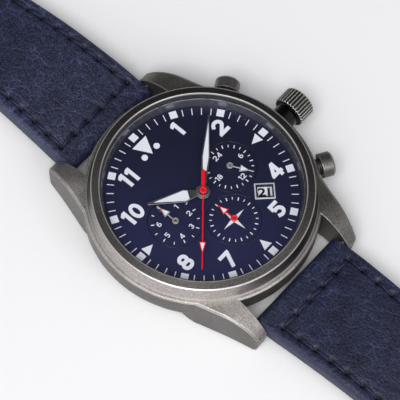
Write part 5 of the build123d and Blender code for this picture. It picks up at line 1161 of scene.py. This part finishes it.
def press_stitches(points, strap):
    """Presses the stitch groove and needle holes into the skin, adds soft dents, and gives the
    share of dark shade at each point."""
    groove_half, hole_half, hole_depth = 0.5, 0.5, 0.58
    holes = np.array(strap.rows())
    place = np.arange(len(points)) % loop_size
    on_top = place <= top_steps
    on_bottom = (place >= bottom_start) & (place <= bottom_start + bottom_steps)
    plan = points[:, :2]
    nearest = np.full(len(points), 9.0)     # distance to the seam, far away at first
    for start, way in zip(holes[:-1], holes[1:] - holes[:-1]):
        share = np.clip(((plan - start) @ way) / (way ** 2).sum(), 0, 1)
        gap = np.hypot(*(plan - start - share[:, None] * way).T)
        nearest = np.minimum(nearest, gap)
    pit = np.zeros(len(points))
    for hole in holes:
        gap = np.hypot(*(plan - hole).T)
        pit = np.maximum(pit, np.exp(-(gap / hole_half) ** 2))
    sink = groove_depth * np.exp(-(nearest / groove_half) ** 2) + hole_depth * pit
    soft = np.array([noise.fractal(Vector((p[0] * 0.13, p[1] * 0.1, 5.0)), 1.0, 2.0, 3) for p in points])
    thick = np.array([min(strap.half(y), 1.0) for y in points[:, 1]])
    points[:, 2] += np.where(on_top, -sink + 0.05 * soft * thick ** 2, 0.0)
    points[:, 2] += np.where(on_bottom, 0.7 * sink, 0.0)
    groove_shade = 0.62 * np.exp(-(nearest / groove_half) ** 4)
    return np.clip(np.maximum(pit * 2.4 - 0.4, groove_shade), 0, 1) * (on_top | on_bottom)


def thread_run(strap, holes, side, face):
    """All stitches of one face of the strap."""
    radius = settings("watch_strap").thread_diameter / 2 / MM
    slants = (0.105, 0.14)      # how far neighbouring stitches lean across the row, in turn
    return [stitch(strap, start, end, side, face, radius, slants[index % 2])
            for index, (start, end) in enumerate(zip(holes, holes[1:]))]


def stitch(strap, start, end, side, face, radius, slant):
    """Two-ply thread from one needle hole to the next, its ends dipping into them."""
    along, around = 15, 10
    twist, ply_depth = 5.5, 0.16
    lower_groove, dip = 0.09, 0.42
    run = (end[0] - start[0], end[1] - start[1])
    length = hypot(*run)
    across = (-run[1] / length, run[0] / length)
    points = []
    for step in range(along):
        t = step / (along - 1)
        off = slant * (2 * t - 1)
        x = start[0] + run[0] * (0.06 + 0.88 * t) + across[0] * off
        y = start[1] + run[1] * (0.06 + 0.88 * t) + across[1] * off
        lift = 1 - abs(2 * t - 1) ** 3.2
        if face > 0:
            top = top_height(x, strap.width(y), strap.centre(y) + strap.half(y), 0.8)
            skin = top - groove_depth
        else:
            skin = strap.centre(y) - strap.half(y) + lower_groove
        z = skin + face * (radius * 0.62 * lift - dip * (1 - lift))
        fat = radius * (0.62 + 0.38 * min(lift * 1.4, 1.0))
        for turn in range(around):
            angle = 2 * pi * turn / around
            ply = fat * (1 + ply_depth * cos(2 * (angle - twist * t)))
            side_way, rise = cos(angle) * ply, sin(angle) * ply * 0.85
            points.append((x + across[0] * side_way, side * (y + across[1] * side_way), z + rise))
    faces = capped(along, around)
    return points, faces if side > 0 else [face_points[::-1] for face_points in faces]


def paint_attribute(made, name, values):
    """Gives the mesh a value at each point, for its finish to read."""
    layer = made.data.attributes.new(name, "FLOAT", "POINT")
    layer.data.foreach_set("value", np.asarray(values, dtype=np.float32))


def cut(target, cutter):
    """Cuts one mesh out of another and applies the result."""
    modifier = target.modifiers.new("cut", "BOOLEAN")
    modifier.operation = "DIFFERENCE"
    modifier.solver = "EXACT"
    modifier.object = cutter
    depsgraph = bpy.context.evaluated_depsgraph_get()
    result = bpy.data.meshes.new_from_object(target.evaluated_get(depsgraph), depsgraph=depsgraph)
    target.modifiers.remove(modifier)
    target.data = result
    bpy.data.objects.remove(cutter)


def strap_half(name, strap, side, cutter_parts, materials):
    """The leather of one strap half, on the side of +Y or of -Y."""
    points, faces, kinds, seam_shade, rubbed = leather_slab(strap)
    if side < 0:
        points[:, 1] *= -1
        faces = [face[::-1] for face in faces]
    made = piece(name, points.tolist(), faces, materials)
    made.data.polygons.foreach_set("material_index", kinds)
    paint_attribute(made, "painted_seam_shade", seam_shade)
    paint_attribute(made, "rubbed", rubbed)
    cutter = piece(name + "_cutter", *joined(cutter_parts), materials[2], smooth=False)
    cut(made, cutter)
    return made


def round_bar(radius, x, y, low_z, high_z, steps=32):
    """An upright round bar."""
    outline = [(x + radius * cos(2 * pi * i / steps), y + radius * sin(2 * pi * i / steps))
               for i in range(steps)]
    return plate(outline, low_z, high_z)


def block(low_corner, high_corner):
    """A block between two opposite corners."""
    (x0, y0, z0), (x1, y1, z1) = low_corner, high_corner
    return plate([(x0, y0), (x1, y0), (x1, y1), (x0, y1)], z0, z1)


class WATCH_OT_strap(bpy.types.Operator):
    """Both leather halves with their grain, needle holes and sewing thread"""
    bl_idname = "watch.strap"
    bl_label = "Strap"

    def execute(self, context):
        materials = [upper_leather(), lining_leather(), edge_leather()]
        thread = sewing_thread()
        below, above = -2.0, 6.0        # heights that clear the leather on both sides
        buckle_turn = 1.3               # the leather's half thickness around the buckle's bar
        slot_half, slot_back, slot_front = 1.35, 3.6, 3.0
        upper = Strap(flat_z=2.7, flat_half=buckle_turn, end_y=buckle_bar_y + buckle_turn,
                      pointed=False, cross_y=bar_y + 2.5)
        slot = block((-slot_half, buckle_bar_y - slot_back, 0.0),
                     (slot_half, buckle_bar_y + slot_front, above))
        made = strap_half("strap_upper_leather", upper, 1, [slot], materials)
        self.settle(made, "strap_upper", "strap_short")
        self.sew("strap_upper_stitching", upper, 1, "strap_upper", thread)
        lower = Strap(flat_z=1.25, flat_half=1.25, end_y=long_end, pointed=True, cross_y=bar_y + 3.2)
        hole_ys = [-(tongue_hole_first + tongue_hole_pitch * hole) for hole in range(tongue_hole_count)]
        holes = [round_bar(tongue_hole_radius, 0.0, y, below, above) for y in hole_ys]
        made = strap_half("strap_lower_leather", lower, -1, holes, materials)
        self.settle(made, "strap_lower", "strap_long")
        self.sew("strap_lower_stitching", lower, -1, "strap_lower", thread)
        return {"FINISHED"}

    def settle(self, made, body, node):
        """Puts a leather half in the place of its solid."""
        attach(made, body)
        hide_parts(node)

    def sew(self, name, strap, side, body, thread):
        """The stitches of both faces as one piece."""
        holes = strap.rows()
        parts = thread_run(strap, holes, side, 1) + thread_run(strap, holes, side, -1)
        sewn = piece(name, *joined(parts), thread)
        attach(sewn, body)


class WATCH_OT_keepers(bpy.types.Operator):
    """The fixed and the free leather loop"""
    bl_idname = "watch.keepers"
    bl_label = "Keepers"

    def execute(self, context):
        leather = upper_leather("keeper_leather")
        for name, node, body in (("keeper_fixed_leather", "fixed_keeper", "strap_upper"),
                                 ("keeper_free_leather", "free_keeper", "keeper_slider")):
            loop = self.loop(name, node, leather)
            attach(loop, body)
            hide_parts(node)
        return {"FINISHED"}

    def loop(self, name, node, leather):
        """A band bent to a rounded loop, its section rounded at both edges."""
        near, far = low(node), high(node)
        middle_y, half_length = (near.y + far.y) / 2, (far.y - near.y) / 2
        path, section = self.path(near, far), self.section(half_length)
        worn_share = 0.25
        points, rubbed = [], []
        for x, z, out_x, out_z in path:
            for along, out in section:
                out += 0.03 * noise.noise(Vector((x * 0.4, along * 0.5, z * 0.4)))
                points.append((x + out_x * out, middle_y + along, z + out_z * out))
                edge = (abs(along) / half_length - 1 + worn_share) / worn_share
                rubbed.append(min(max(edge, 0.0), 1.0))
        faces = [face[::-1] for face in loops_to_faces(len(path), len(section), closed=True)]
        made = piece(name, points, faces, leather)
        paint_attribute(made, "painted_seam_shade", [0.0] * len(points))
        paint_attribute(made, "rubbed", rubbed)
        return made

    def path(self, near, far):
        """Places (x, z) around the band's outer face, each with its outward direction."""
        corner, turn_steps, step_length = 1.15, 8, 0.6
        left, right = near.x + corner, far.x - corner
        lower, upper = near.z + corner, far.z - corner
        path = []
        corners = ((right, upper, 0), (left, upper, 90), (left, lower, 180), (right, lower, 270))
        for index, (x, z, start) in enumerate(corners):
            for step in range(turn_steps + 1):
                angle = radians(start + 90 * step / turn_steps)
                path.append((x + corner * cos(angle), z + corner * sin(angle), cos(angle), sin(angle)))
            next_x, next_z, _ = corners[(index + 1) % 4]
            gap_x, gap_z = next_x - x, next_z - z
            steps = max(int(hypot(gap_x, gap_z) / step_length), 2)
            last_x, last_z, out_x, out_z = path[-1]
            path.extend((last_x + gap_x * step / steps, last_z + gap_z * step / steps, out_x, out_z)
                        for step in range(1, steps))
        return path

    def section(self, half_length):
        """The band's section: along the strap, and outwards from its outer face."""
        wall, edge_share, edge_drop, crown, chamfer = 1.1, 0.18, 0.34, 0.05, 0.25
        section = []
        for step in range(13):
            v = -1 + 2 * step / 12
            edge = max(abs(v) - 1 + edge_share, 0) / edge_share
            section.append((v * half_length, -edge_drop * (1 - arc(edge)) - crown * v * v))
        inner = half_length * 0.93
        return section + [(half_length, chamfer - wall), (inner, -wall), (-inner, -wall),
                          (-half_length, chamfer - wall)]


# Studio

class WATCH_OT_studio(bpy.types.Operator):
    """Pale floor, sky, soft lights and the camera"""
    bl_idname = "watch.studio"
    bl_label = "Studio"

    def execute(self, context):
        options = settings("watch_studio")
        self.floor(options)
        self.sky()
        self.light("key", (-0.36, -0.16, 0.7), 0.36, 3.9)
        self.light("side", (-0.1, -0.62, 0.45), 0.3, 1.2)
        self.camera(options)
        context.scene.view_settings.view_transform = "Standard"
        return {"FINISHED"}

    def floor(self, options):
        """A wide sheet of paper just under the watch."""
        half, rows, level = 6000.0, 8, -0.05
        points = [(-half + 2 * half * i / rows, -half + 2 * half * j / rows, level)
                  for j in range(rows + 1) for i in range(rows + 1)]
        corners = [j * (rows + 1) + i for j in range(rows) for i in range(rows)]
        faces = [(first, first + 1, first + rows + 2, first + rows + 1) for first in corners]
        finish = Finish("studio_floor")
        paper_grain = 0.8
        paper = finish.noise(finish.place(), paper_grain, detail=3.0)
        base = finish.mix(tint(options.floor, 0.98), options.floor, paper)
        material = finish.surface(base_color=base, roughness=0.8, normal=finish.bump(paper, 0.02))
        piece("studio_floor", points, faces, material, smooth=False)

    def sky(self):
        """Light from the left, with a dark flag where the crystal would mirror the sky."""
        world = Finish("studio", bpy.data.worlds.new("studio"))
        bpy.context.scene.world = world.material
        direction = world.node("ShaderNodeTexCoord", output="Generated")
        mirrored, bright_side = (0.36, 0.27, 0.893), (-0.8, -0.5, 0.33)
        flag = world.dot(direction, mirrored).step(0.86, 0.97)
        left = world.dot(direction, bright_side).step(-0.45, 0.75)
        tone = world.mix((0.1, 0.103, 0.11), (0.8, 0.8, 0.81), left)
        world.surface(color=world.mix(tone, (0.02, 0.02, 0.022), flag), strength=1.0)

    def light(self, name, place, size, watts):
        """A square soft box that faces the watch."""
        lamp = bpy.data.lights.new(name, "AREA")
        lamp.shape = "SQUARE"
        lamp.size = size
        lamp.energy = watts
        holder = bpy.data.objects.new(name, lamp)
        holder.location = place
        aim = Vector((0, 0, dial_top * MM)) - Vector(place)
        holder.rotation_mode = "QUATERNION"
        holder.rotation_quaternion = aim.to_track_quat("-Z", "Y")
        bpy.context.scene.collection.objects.link(holder)

    def camera(self, options):
        """Looks at the dial from the photograph's place."""
        data = bpy.data.cameras.new("camera")
        data.sensor_width = 36.0
        data.lens = options.lens
        data.clip_start = 0.01
        data.clip_end = 10.0
        holder = bpy.data.objects.new("camera", data)
        bpy.context.scene.collection.objects.link(holder)
        turn, rise = options.azimuth, options.elevation
        back = Vector((sin(turn) * cos(rise), -cos(turn) * cos(rise), sin(rise)))
        aim_x, aim_y = -1.198, -0.411       # the dial's point in the middle of the picture
        aim = Vector((aim_x, aim_y, dial_top)) * MM
        level = (-back).to_track_quat("-Z", "Y").to_matrix()
        rolled = level @ Matrix.Rotation(options.roll, 3, "Z")
        holder.matrix_world = Matrix.Translation(aim + back * options.distance) @ rolled.to_4x4()
        bpy.context.scene.camera = holder


class WATCH_PT_panel(bpy.types.Panel):
    """Lists the watch's settings and operators"""
    bl_label = "Pilot Watch"
    bl_idname = "WATCH_PT_panel"
    bl_space_type = "VIEW_3D"
    bl_region_type = "UI"
    bl_category = "Pilot Watch"

    def draw(self, context):
        for name, group, row in panel_rows:
            box = self.layout.box()
            for setting in group.__annotations__:
                box.prop(getattr(context.scene, name), setting)
            for operator in row:
                box.operator(operator.bl_idname)


# Each group of settings with the operators that use it
panel_rows = (
    ("watch_metal", MetalSettings,
     (WATCH_OT_case, WATCH_OT_crystal, WATCH_OT_crown, WATCH_OT_movement, WATCH_OT_bars)),
    ("watch_dial", DialSettings, (WATCH_OT_dial, WATCH_OT_date, WATCH_OT_hands)),
    ("watch_strap", StrapSettings, (WATCH_OT_strap, WATCH_OT_keepers)),
    ("watch_studio", StudioSettings, (WATCH_OT_studio,)),
)


def operators():
    return [operator for _, _, row in panel_rows for operator in row]


def register():
    for name, group, _ in panel_rows:
        bpy.utils.register_class(group)
        setattr(bpy.types.Scene, name, bpy.props.PointerProperty(type=group))
    for operator in operators():
        bpy.utils.register_class(operator)
    bpy.utils.register_class(WATCH_PT_panel)


def unregister():
    bpy.utils.unregister_class(WATCH_PT_panel)
    for operator in reversed(operators()):
        bpy.utils.unregister_class(operator)
    for name, group, _ in panel_rows:
        delattr(bpy.types.Scene, name)
        bpy.utils.unregister_class(group)


def main():
    register()
    for operator in operators():
        area, name = operator.bl_idname.split(".")
        getattr(getattr(bpy.ops, area), name)()


if __name__ == "__main__":
    main()
